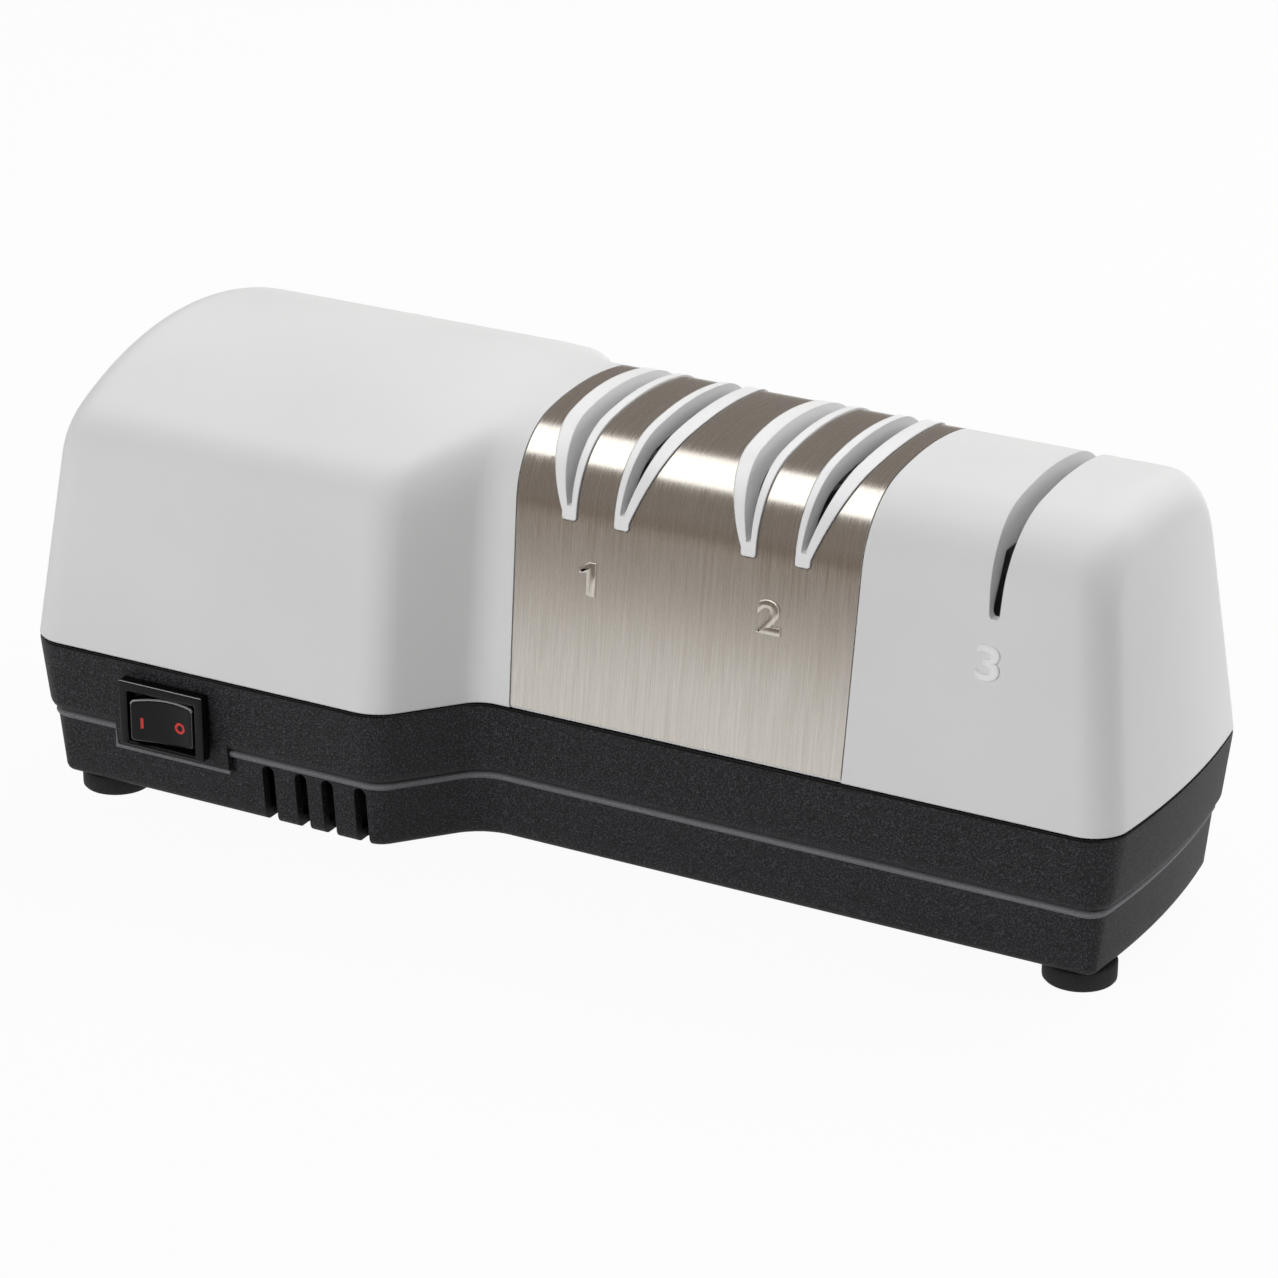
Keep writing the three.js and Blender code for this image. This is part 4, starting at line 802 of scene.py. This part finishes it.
def add_wrap(bm, grow, inner, outer, bottom, step=1.6, count=52):
    """A sheet wrapped over the stages, between two insets, with its sides closing in towards the seam."""
    def edge(index, z):
        closing = (STAGE_TOP - z) * PLATE_TAPER / (STAGE_TOP - SEAM)
        return PLATE_EDGES[index] + (1 if index else -1) * (grow - closing)

    columns = round((PLATE_EDGES[1] - PLATE_EDGES[0]) / step)
    lines = [wrap_line(inset, bottom, count) for inset in (outer, inner)]
    rings = []
    for c in range(columns + 1):
        share = c / columns
        ring = []
        for line, forward in ((lines[0], True), (lines[1], False)):
            points = [(edge(0, z) + (edge(1, z) - edge(0, z)) * share, y, z) for y, z in line]
            ring += points if forward else list(reversed(points))
        rings.append(ring)
    rows = add_loft(bm, rings, caps=False)
    for ring in (rows[0], rows[-1]):
        for i in range(len(ring) // 2 - 1):
            bm.faces.new((ring[i], ring[i + 1], ring[-2 - i], ring[-1 - i]))


def slot_outline(centre, side, middle, bottom, half, corner, inner_lean, outer_lean, grow, parts=8):
    """A slot from the front: a tip with rounded corners, then two sides that lean apart."""
    wide, radius = half + grow, corner + max(grow, 0)
    points = []
    for direction, start in ((-1, math.pi), (1, 1.5 * math.pi)):
        x = middle + direction * (wide - radius)
        for i in range(parts + 1):
            turn = start + math.pi / 2 * i / parts
            points.append((x + radius * math.cos(turn), bottom - grow + radius + radius * math.sin(turn)))
    shoulder = bottom + half
    rise = CUT_TOP - shoulder
    points.append((middle + wide, shoulder))
    points.append((middle + wide + rise * outer_lean, CUT_TOP))
    points.append((middle - wide + rise * inner_lean, CUT_TOP))
    points.append((middle - wide, shoulder))
    return [(centre + side * offset, height) for offset, height in points]


def add_slots(bm, shape):
    for centre in STAGES:
        for side in (-1, 1):
            add_prism(bm, "y", slot_outline(centre, side, **shape), -ACROSS, ACROSS)


def rim_shape(grow):
    """The outline of a rim: one side upright, the other leaning out."""
    sides = {"inner_lean": 0, "outer_lean": RIM_LEAN, "grow": grow}
    return {"middle": 7, "bottom": 92, "half": 1.9, "corner": 0.75, **sides}


OPENING = {"middle": 7.1, "bottom": 95.4, "half": 0.6, "corner": 0.3}
OPENING.update(inner_lean=0.05, outer_lean=0.28, grow=0)


def hand_slot(bottom, grow):
    """The slot of the hand stage from the front: a narrow slit that opens a little towards the top."""
    mouth = HAND_FLARE_HALF + (CUT_TOP - HAND_FLARE_START) * HAND_FLARE_LEAN
    right = [(half + grow, bottom + rise) for half, rise in HAND_TIP]
    right += [(HAND_FLARE_HALF + grow, HAND_FLARE_START), (mouth + grow, CUT_TOP)]
    left = [(-offset, height) for offset, height in reversed(right)]
    return [(HAND_CENTRE + offset, height) for offset, height in right + left]


def make_liner():
    """The walls of the hand slot inside the cover, cut to the part that the real one has."""
    reach = (HAND_CENTRE - HAND_LINER_REACH, HAND_CENTRE + HAND_LINER_REACH)
    bm = bmesh.new()
    add_prism(bm, "y", hand_slot(HAND_LINER_FOOT, HAND_LINER_WALL), -HAND_LINER_HALF, HAND_LINER_HALF)
    liner = piece_from("liner", bm, white_abs)
    bm = bmesh.new()
    add_prism(bm, "x", wrap_line(HAND_LINER_SUNK, bottom=SEAM + 20, count=40), *reach)
    combine(liner, "INTERSECT", bm)
    bm = bmesh.new()
    add_prism(bm, "x", HAND_LINER_END + [(-y, z) for y, z in reversed(HAND_LINER_END)], *reach)
    combine(liner, "INTERSECT", bm)
    return mesh_of(liner)


def make_cover():
    bm = bmesh.new()
    add_envelope(bm, 0, lip=LIP)
    cover = piece_from("cover_shell", bm, white_abs)
    bm = bmesh.new()
    add_envelope(bm, COVER_WALL, foot=COVER_CUT_FOOT, count=INNER_SECTION_POINTS)
    combine(cover, "DIFFERENCE", bm)
    bm = bmesh.new()
    add_wrap(bm, PLATE_GAP, inner=PLATE_SEAT, outer=-2, bottom=SEAM - 3)
    combine(cover, "DIFFERENCE", bm)
    combine(cover, "UNION", make_liner())
    bm = bmesh.new()
    add_slots(bm, rim_shape(-RIM_BITE))
    add_prism(bm, "y", hand_slot(HAND_SLOT_BOTTOM, 0), -ACROSS, ACROSS)
    combine(cover, "DIFFERENCE", bm)
    bm = bmesh.new()
    ends = (HAND_CENTRE - WHEEL_ROOM_HALF, HAND_CENTRE + WHEEL_ROOM_HALF)
    add_bar(bm, "x", WHEEL_ROOM_RADIUS, *ends, (0, WHEEL_HEIGHT))
    combine(cover, "DIFFERENCE", bm)
    smooth(cover, 30)
    put_in_place(cover, "housing", ["top_cover"])


def make_rims():
    """The four raised rims: solid wedges, cut to the surface, hollowed below and slit for the blade."""
    bm = bmesh.new()
    add_slots(bm, rim_shape(0))
    rims = piece_from("slot_rims", bm, lit_white_abs)
    bm = bmesh.new()
    add_prism(bm, "x", wrap_line(-RIM_PROUD, bottom=SEAM + 20, count=90), *RIM_REACH)
    combine(rims, "INTERSECT", bm)
    bm = bmesh.new()
    add_prism(bm, "x", wrap_line(RIM_WALL, bottom=SEAM + 10, count=60), RIM_REACH[0] - 5, RIM_REACH[1] + 5)
    combine(rims, "DIFFERENCE", bm)
    bm = bmesh.new()
    add_slots(bm, OPENING)
    combine(rims, "DIFFERENCE", bm)
    for centre in STAGES:
        bm = bmesh.new()
        ends = (centre - DISC_ROOM_HALF, centre + DISC_ROOM_HALF)
        add_bar(bm, "x", DISC_ROOM_RADIUS, *ends, (0, SHAFT_HEIGHT), 72)
        combine(rims, "DIFFERENCE", bm)
    # The rims' tops keep the painted-brighter white; the slot walls, facing along x, take the plain white.
    rims.data.materials.append(slot_abs)
    for face in rims.data.polygons:
        face.material_index = int(abs(face.normal.x) > 0.6)
    smooth(rims, 30)
    put_in_place(rims, "housing")


def make_plate():
    bm = bmesh.new()
    add_wrap(bm, 0, inner=PLATE_THICKNESS, outer=0, bottom=SEAM + PLATE_FOOT)
    plate = piece_from("plate", bm, plate_steel)
    bm = bmesh.new()
    add_slots(bm, rim_shape(PLATE_GAP))
    combine(plate, "DIFFERENCE", bm)
    smooth(plate, 30)
    put_in_place(plate, "housing", ["metal_cover_plate"])


def front_wall(z, section):
    """How far in front of the middle the stage section's surface lies at a height."""
    for (ay, az), (by, bz) in zip(section, section[1:]):
        if az <= z <= bz:
            return ay + (by - ay) * (z - az) / (bz - az)
    return section[-1][0]


def make_numeral(text, material):
    """A raised numeral with rounded strokes that follows the front wall."""
    x, width, height, weight, edge = NUMERALS[text]
    if text == "1":
        curve = bpy.data.curves.new("numeral", "CURVE")
        curve.dimensions = "2D"
        curve.fill_mode = "BOTH"
        line = curve.splines.new("POLY")
        line.points.add(len(ONE) - 1)
        for point, (u, v) in zip(line.points, ONE):
            point.co = (u / LETTER_SCALE, v / LETTER_SCALE, 0, 1)
        line.use_cyclic_u = True
    else:
        curve = bpy.data.curves.new("numeral", "FONT")
        curve.body = text
    curve.offset = weight
    curve.extrude = STROKE_DEPTH
    curve.bevel_depth = edge
    curve.bevel_resolution = 4
    drawn = bpy.data.objects.new("numeral_drawn", curve)
    bpy.context.scene.collection.objects.link(drawn)
    graph = bpy.context.evaluated_depsgraph_get()
    mesh = bpy.data.meshes.new_from_object(drawn.evaluated_get(graph))
    bpy.data.objects.remove(drawn)
    bm = bmesh.new()
    bm.from_mesh(mesh)
    bmesh.ops.remove_doubles(bm, verts=bm.verts, dist=1e-5)
    lows = [min(v.co[i] for v in bm.verts) for i in range(3)]
    highs = [max(v.co[i] for v in bm.verts) for i in range(3)]
    wide, tall, depth = [high - low for low, high in zip(lows, highs)]
    section = section_at(STAGE_HALF_DEPTH)
    for v in bm.verts:
        across = ((v.co.x - lows[0]) / wide - 0.5) * width
        z = NUMERAL_HEIGHT + ((v.co.y - lows[1]) / tall - 0.5) * height
        raised = NUMERAL_RELIEF * ((v.co.z - lows[2]) / depth * 2 - 1)
        v.co = Vector((x + across, -front_wall(z, section) - raised, z))
    numeral = piece_from("numeral_" + text, bm, material)
    smooth(numeral, 50)
    put_in_place(numeral, "housing")


# Base

def wall_inset(z):
    return (SEAM - z) * WALL_SLOPE


def add_stack(bm, levels, step=3):
    add_loft(bm, [[(x, y, z) for x, y in plan_outline(inset, step)] for z, inset in levels])


def add_vents(bm):
    """Vents with arched tops, open to the underside, in front and back."""
    turns = [math.pi * i / 10 for i in range(11)]
    for x in VENTS:
        arch = [(x + VENT_HALF * math.cos(t), VENT_TOP + VENT_HALF * math.sin(t)) for t in turns]
        for side in (-1, 1):
            near, far = sorted(side * reach for reach in VENT_REACH)
            add_prism(bm, "y", arch + [(x - VENT_HALF, 2), (x + VENT_HALF, 2)], near, far)


def make_base():
    bm = bmesh.new()
    add_stack(bm, BASE_CORNER + BASE_SKIRT + BASE_GROOVE + BASE_STEP + BASE_WALL + BASE_RIM)
    base = piece_from("base_tub", bm, black_abs)
    bm = bmesh.new()
    pad = [
        (wall_inset(PAD_BOTTOM) - MOTOR_HALF_DEPTH - PAD_PROUD, PAD_BOTTOM + PAD_CHAMFER),
        (wall_inset(PAD_BOTTOM) - MOTOR_HALF_DEPTH + PAD_CHAMFER, PAD_BOTTOM),
        (PAD_BACK, PAD_BOTTOM),
        (PAD_BACK, PAD_TOP),
        (wall_inset(PAD_TOP) - MOTOR_HALF_DEPTH - PAD_PROUD, PAD_TOP),
    ]
    add_prism(bm, "x", pad, PAD_LEFT, PAD_RIGHT)
    combine(base, "UNION", bm)
    bm = bmesh.new()
    add_stack(bm, BASE_HOLLOW, 8)
    combine(base, "DIFFERENCE", bm)
    bm = bmesh.new()
    add_vents(bm)
    add_box(bm, *PAD_SHADOW)
    add_box(bm, *SWITCH_OPENING)
    add_bar(bm, "y", INLET_HOLE, 40, ACROSS, (SWITCH_CENTRE, INLET_HEIGHT))
    add_box(bm, *HATCH_OPENING)
    for x, y in SCREWS:
        add_bar(bm, "z", HEAD_ROOM, 2, 12, (x, y))
    combine(base, "DIFFERENCE", bm)
    bm = mesh_of(base)
    for place in SCREWS:
        rest = MOTOR_POST if place in SCREWS[-2:] else COVER_POST
        top = rest + POST_CAP
        post = [(POST_RADIUS, FLOOR_TOP), (POST_RADIUS, top), (PILOT_HOLE, top), (PILOT_HOLE, rest)]
        rings = turned_rings(post + [(HEAD_ROOM, rest), (HEAD_ROOM, FLOOR_TOP)], place, 40)
        add_loft(bm, rings + [rings[0]], caps=False)
    bmesh.ops.remove_doubles(bm, verts=bm.verts, dist=1e-4)
    finished = piece_from("base_shell", bm, black_abs)
    smooth(finished, 28)
    # The base's top edge takes the near-black nylon as painted shade at the seam; the flat underside is
    # shaded flat.
    finished.data.materials.append(gloss_abs)
    for face in finished.data.polygons:
        face.use_smooth = face.normal.z > -0.99
        face.material_index = int(face.center.z > SEAM_SHADE_START * MM)
    put_in_place(finished, "housing", ["base"])


def make_ledge():
    """The top edge of the skirt in a paler black, a painted highlight line that drops round the pad of the
    switch.
    """
    bm = bmesh.new()
    add_closed_loft(bm, [[(x, y, z) for x, y in plan_outline(inset)] for z, inset in LEDGE])
    face = wall_inset(PAD_BOTTOM) - MOTOR_HALF_DEPTH
    # The strip down the pad's left side and along its bottom carries the same painted highlight line.
    strip = (face + STRIP_FRONT, face + STRIP_BACK)
    left, bottom = PAD_LEFT - PAD_STRIP, PAD_BOTTOM - PAD_STRIP
    add_box(bm, (left, PAD_LEFT), strip, (bottom, LEDGE_TOP))
    add_box(bm, (PAD_LEFT, PAD_RIGHT), strip, (bottom, PAD_BOTTOM))
    ledge = piece_from("base_ledge", bm, highlight_ledge_abs)
    smooth(ledge, 40)
    put_in_place(ledge, "housing")


def make_feet():
    for name, centre in FEET.items():
        bm = bmesh.new()
        add_loft(bm, turned_rings(FOOT, centre))
        foot = piece_from("rubber_" + name, bm, rubber)
        smooth(foot, 40)
        put_in_place(foot, "housing", [name])


def make_inlet():
    bm = bmesh.new()
    add_closed_loft(bm, turned_rings(INLET, (SWITCH_CENTRE, INLET_HEIGHT), axis="y"))
    inlet = piece_from("cord_bushing", bm, rubber)
    smooth(inlet, 40)
    put_in_place(inlet, "housing", ["cord_inlet_bushing"])


def make_springs():
    """Each spring as two halves, coiled from its middle out to each side."""
    steps = SPRING_TURN_STEPS * SPRING_HALF_TURNS
    for stage, centre in enumerate(STAGES, 1):
        for side, name in ((-1, "left"), (1, "right")):
            bm = bmesh.new()
            start = Matrix.Translation((centre, SPRING_RADIUS, SHAFT_HEIGHT))
            bmesh.ops.create_circle(bm, segments=WIRE_SIDES, radius=SPRING_WIRE, matrix=start)
            bmesh.ops.spin(
                bm,
                geom=bm.verts[:] + bm.edges[:],
                cent=(centre, 0, SHAFT_HEIGHT),
                axis=(1, 0, 0),
                dvec=(side * SPRING_HALF_SPAN / steps, 0, 0),
                angle=side * SPRING_HALF_TURNS * 2 * math.pi,
                steps=steps,
                use_merge=False,
            )
            bmesh.ops.holes_fill(bm, edges=[e for e in bm.edges if e.is_boundary], sides=0)
            spring = piece_from(f"spring_{stage}_{name}", bm, cad_materials["steel"])
            smooth(spring, 50)
            put_in_place(spring, "rotor", [f"stage{stage}_spring"])
            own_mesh(spring)


# Switch

def make_bezel():
    """The frame of the switch: a rounded block with a stepped well, painted pale along its top edge as a
    highlight.
    """
    bm = bmesh.new()
    width = (SWITCH_CENTRE - BEZEL_HALF_WIDTH, SWITCH_CENTRE + BEZEL_HALF_WIDTH)
    add_box(bm, width, (BEZEL_FRONT, BEZEL_BACK), (BEZEL_BOTTOM, BEZEL_TOP))
    bm.normal_update()
    bmesh.ops.recalc_face_normals(bm, faces=bm.faces)
    front = min(bm.faces, key=lambda face: face.calc_center_median().y)
    bmesh.ops.inset_region(bm, faces=[front], thickness=FRAME_WIDTH, depth=0)
    middle = Matrix.Translation((-SWITCH_CENTRE, 0, 0))
    bmesh.ops.scale(bm, vec=(FRAME_NARROWING, 1, 1), space=middle, verts=front.verts)
    bmesh.ops.translate(bm, vec=(0, 0, -ROCKER_DROP), verts=front.verts)
    bmesh.ops.inset_region(bm, faces=[front], thickness=FRAME_STEP, depth=-FRAME_STEP_DEPTH)
    inner = bmesh.ops.extrude_face_region(bm, geom=[front])
    moved = [v for v in inner["geom"] if isinstance(v, bmesh.types.BMVert)]
    bmesh.ops.delete(bm, geom=[front], context="FACES_ONLY")
    bmesh.ops.translate(bm, vec=(0, WELL_DEPTH, 0), verts=moved)
    corners = []
    for edge in bm.edges:
        depths = [v.co.y for v in edge.verts]
        outside = max(depths) < BEZEL_BACK + 0.1 or min(depths) < BEZEL_FRONT + 0.6
        if outside and edge.is_manifold and edge.calc_face_angle(0) > math.radians(40):
            corners.append(edge)
    bmesh.ops.bevel(
        bm,
        geom=corners,
        offset=BEZEL_ROUNDING,
        offset_type="OFFSET",
        affect="EDGES",
        segments=3,
        profile=0.5,
        material=-1,
        clamp_overlap=True,
    )
    bm.normal_update()
    # Faces of the rounded top front edge take the pale nylon, as a painted highlight.
    for face in bm.faces:
        high = face.calc_center_median().z > BEZEL_TOP - 1.3
        face.material_index = int(high and face.normal.y < -0.3 and face.normal.z > 0.3)
    bezel = piece_from("switch_bezel", bm, gloss_abs)
    bezel.data.materials.append(highlight_abs)
    smooth(bezel, 35)
    put_in_place(bezel, "housing", ["switch_housing"])


def rocker_face(u):
    """Depth of the rocker's dished face, in its own frame, at a distance from its middle."""
    return ROCKER_FRONT + ROCKER_DISH * (1 - (u / ROCKER_HALF_WIDTH) ** 2)


def turn_rocker(bm):
    """Takes a mesh from the rocker's own frame to its place in the switch, swung to its rest."""
    turn = Matrix.Rotation(ROCKER_SWING, 4, "Z")
    place = Matrix.Translation((SWITCH_CENTRE, HINGE_DEPTH, SWITCH_HEIGHT - ROCKER_DROP))
    bmesh.ops.transform(bm, matrix=place @ turn, verts=bm.verts)


def barrel(half_width, half_height, radius, arch, steps=6):
    """A rectangle with round corners whose top and bottom arch, lower at its ends by a share."""
    points = []
    for i, (sx, sz) in enumerate(((1, 1), (-1, 1), (-1, -1), (1, -1))):
        for k in range(steps + 1):
            turn = math.pi / 2 * (i + k / steps)
            x = sx * (half_width - radius) + radius * math.cos(turn)
            z = sz * (half_height - radius) + radius * math.sin(turn)
            points.append((x, z))
        if sx == sz:
            reach = sx * (half_width - radius)
            points += [(reach * (1 - k / steps), sz * half_height) for k in range(1, 2 * steps)]
    return [(x, z * (1 - arch * (x / half_width) ** 2)) for x, z in points]


def make_rocker():
    """The rocker: arched seen from the front, dished seen from above, with its edge painted paler as a
    highlight.
    """
    bm = bmesh.new()

    def ring(half_width, half_height, depth=None, share=1, drop=0.0):
        """An outline flat at a depth, or else on the dished face, drawn in by a share."""
        points = []
        for u, v in barrel(half_width, half_height, ROCKER_CORNER, ROCKER_ARCH):
            u, v = u * share, v * share
            points.append((u, rocker_face(u) + drop if depth is None else depth, v))
        return points

    wide, tall = ROCKER_HALF_WIDTH, ROCKER_HALF_HEIGHT
    rings = [ring(ROCKER_BACK_HALF, tall, ROCKER_BACK), ring(wide, tall, 0)]
    rings += [ring(wide - inset, tall - inset, drop=drop) for inset, drop in ROCKER_EDGE]
    inset = ROCKER_EDGE[-1][0]
    rings += [ring(wide - inset, tall - inset, share=s) for s in (0.85, 0.65, 0.45, 0.25, 0.05)]
    add_loft(bm, rings)
    count = len(rings[0])
    bm.faces.ensure_lookup_table()
    # Edge faces are painted paler as highlights: brightest above the given height, fainter below.
    for face in bm.faces[2 * count : 4 * count]:
        face.material_index = 1 if face.calc_center_median().z > BRIGHTEST_HIGHLIGHT_ABOVE else 2
    add_bar(bm, "z", PIN_RADIUS, -PIN_HALF, PIN_HALF, (0, 0), 24)
    turn_rocker(bm)
    rocker = piece_from("rocker", bm, gloss_abs)
    rocker.data.materials.append(highlight_abs)
    rocker.data.materials.append(faint_highlight_abs)
    smooth(rocker, 35)
    put_in_place(rocker, "rocker", ["switch_rocker"])


def make_marks():
    """The plain I and O on the rocker, printed just proud of its face."""
    rise = MARK_HEIGHT - SWITCH_HEIGHT + ROCKER_DROP
    centre = (MARK_O_CENTRE, 0)
    ring_loops = [circle(MARK_O_OUTER, 40, centre), circle(MARK_O_INNER, 40, centre)]
    for name, loops in (("mark_i", [MARK_I]), ("mark_o", ring_loops)):
        bm = bmesh.new()
        front, back = [
            [[(u, rocker_face(u) + depth, rise + v) for u, v in loop] for loop in loops]
            for depth in (-MARK_PROUD, MARK_SUNK)
        ]
        if len(loops) == 1:
            add_loft(bm, front + back)
        else:
            add_closed_loft(bm, [front[0], back[0], back[1], front[1]])
        turn_rocker(bm)
        mark = piece_from(name, bm, red_ink)
        put_in_place(mark, "rocker")


make_cover()
make_rims()
make_plate()
make_numeral("1", plate_steel)
make_numeral("2", plate_steel)
# The 3 also takes the painted-brighter white, so that it stands out like a lit raised numeral.
make_numeral("3", lit_white_abs)
make_base()
make_ledge()
make_feet()
make_inlet()
make_springs()
make_bezel()
make_rocker()
make_marks()


# Stage, light and camera

def background(tree, shader, white):
    """Shows a plain white instead of a shader to the camera, to reflections and through clear things."""
    path = add(tree, "ShaderNodeLightPath").outputs
    rays = {0: path["Is Camera Ray"], 1: path["Is Glossy Ray"]}
    seen = add(tree, "ShaderNodeMath", {"operation": "MAXIMUM"}, rays).outputs[0]
    rays = {0: seen, 1: path["Is Transmission Ray"]}
    seen = add(tree, "ShaderNodeMath", {"operation": "MAXIMUM"}, rays).outputs[0]
    share = add(tree, "ShaderNodeMath", {"operation": "MULTIPLY"}, {0: seen, 1: white[0]}).outputs[0]
    return add(tree, "ShaderNodeMixShader", None, {0: share, 1: shader, 2: white[1]}).outputs[0]


def make_floor():
    bm = bmesh.new()
    bmesh.ops.create_grid(bm, x_segments=2, y_segments=2, size=FLOOR_HALF)
    made, tree, surface = start_material("pale_floor", {"Base Color": linear("c4c4c4"), "Roughness": 0.9})
    glow = add(tree, "ShaderNodeEmission", None, {"Color": (1, 1, 1, 1), "Strength": 1})
    shown = background(tree, surface.outputs[0], (FLOOR_WHITE, glow.outputs[0]))
    tree.links.new(shown, tree.nodes["Material Output"].inputs["Surface"])
    floor = piece_from("floor", bm, made)


def make_world():
    world = bpy.data.worlds.new("studio")
    bpy.context.scene.world = world
    world.use_nodes = True
    tree = world.node_tree
    light = tree.nodes["Background"]
    light.inputs["Color"].default_value = (1, 1, 1, 1)
    light.inputs["Strength"].default_value = WORLD_STRENGTH
    white = add(tree, "ShaderNodeBackground", None, {"Color": (1, 1, 1, 1), "Strength": 1})
    shown = background(tree, light.outputs[0], (1, white.outputs[0]))
    tree.links.new(shown, tree.nodes["World Output"].inputs["Surface"])


def make_lamp(name, place, size, power):
    """A soft rectangular lamp aimed at the object, which bright metal doesn't show."""
    light = bpy.data.lights.new(name, "AREA")
    light.shape = "RECTANGLE"
    light.size, light.size_y = size
    light.energy = power
    lamp = bpy.data.objects.new(name, light)
    bpy.context.scene.collection.objects.link(lamp)
    lamp.location = place
    lamp.rotation_euler = (Vector(LAMP_AIM) - Vector(place)).to_track_quat("-Z", "Y").to_euler()
    lamp.visible_camera = False
    lamp.visible_glossy = False


def make_boards():
    """What bright metal and gloss show round the object: one white board above the front, the rest grey."""
    # Strength, colour, middle and half of its length, then y and z of its lower and its upper edge
    boards = {
        "board_above": (2.2, "ffffff", (-630, 1600), (276, 1589), (-876, 1363)),
        "board_behind": (0.3, "fff4ec", (-500, 2500), (1300, 0), (280, 1592)),
        "board_in_front": (0.26, "fff2e7", (-500, 2500), (-2200, 0), (-880, 1360)),
        "board_on_floor": (0.25, "ffe9d7", (-500, 2500), (-2200, 1), (-380, 1)),
    }
    for name, (strength, colour, (middle, half), low, high) in boards.items():
        made, tree, _ = start_material(name, {"Base Color": linear(colour)})
        glow = add(tree, "ShaderNodeEmission", None, {"Color": linear(colour), "Strength": strength})
        tree.links.new(glow.outputs[0], tree.nodes["Material Output"].inputs["Surface"])
        bm = bmesh.new()
        ends = [(middle + half, *low), (middle - half, *low), (middle - half, *high), (middle + half, *high)]
        bm.faces.new([bm.verts.new(corner) for corner in ends])
        board = piece_from(name, bm, made)
        for ray in ("camera", "diffuse", "transmission", "volume_scatter", "shadow"):
            setattr(board, "visible_" + ray, False)


def make_camera():
    data = bpy.data.cameras.new("camera")
    data.sensor_width = SENSOR
    data.lens = FOCAL_LENGTH / PHOTO_WIDTH * SENSOR
    camera = bpy.data.objects.new("camera", data)
    bpy.context.scene.collection.objects.link(camera)
    place = Vector(CAMERA_PLACE)
    forward = (Vector(CAMERA_AIM) - place).normalized()
    right = forward.cross(Vector((0, 0, 1))).normalized()
    up = right.cross(forward)
    across = right * math.cos(CAMERA_ROLL) + up * math.sin(CAMERA_ROLL)
    upward = up * math.cos(CAMERA_ROLL) - right * math.sin(CAMERA_ROLL)
    turn = Matrix((across, upward, -forward)).transposed().to_4x4()
    camera.matrix_world = Matrix.Translation(place) @ turn
    bpy.context.scene.camera = camera


make_floor()
make_world()
make_lamp("key", (-0.38, -1.35, 0.6), size=(1.1, 0.9), power=12.5)
make_lamp("top", (0.05, 0.72, 1.17), size=(1.2, 0.7), power=14)
make_lamp("right", (0.95, 0.8, 0.54), size=(0.9, 0.7), power=8.1)
make_boards()
make_camera()
bpy.context.scene.view_settings.view_transform = "Standard"
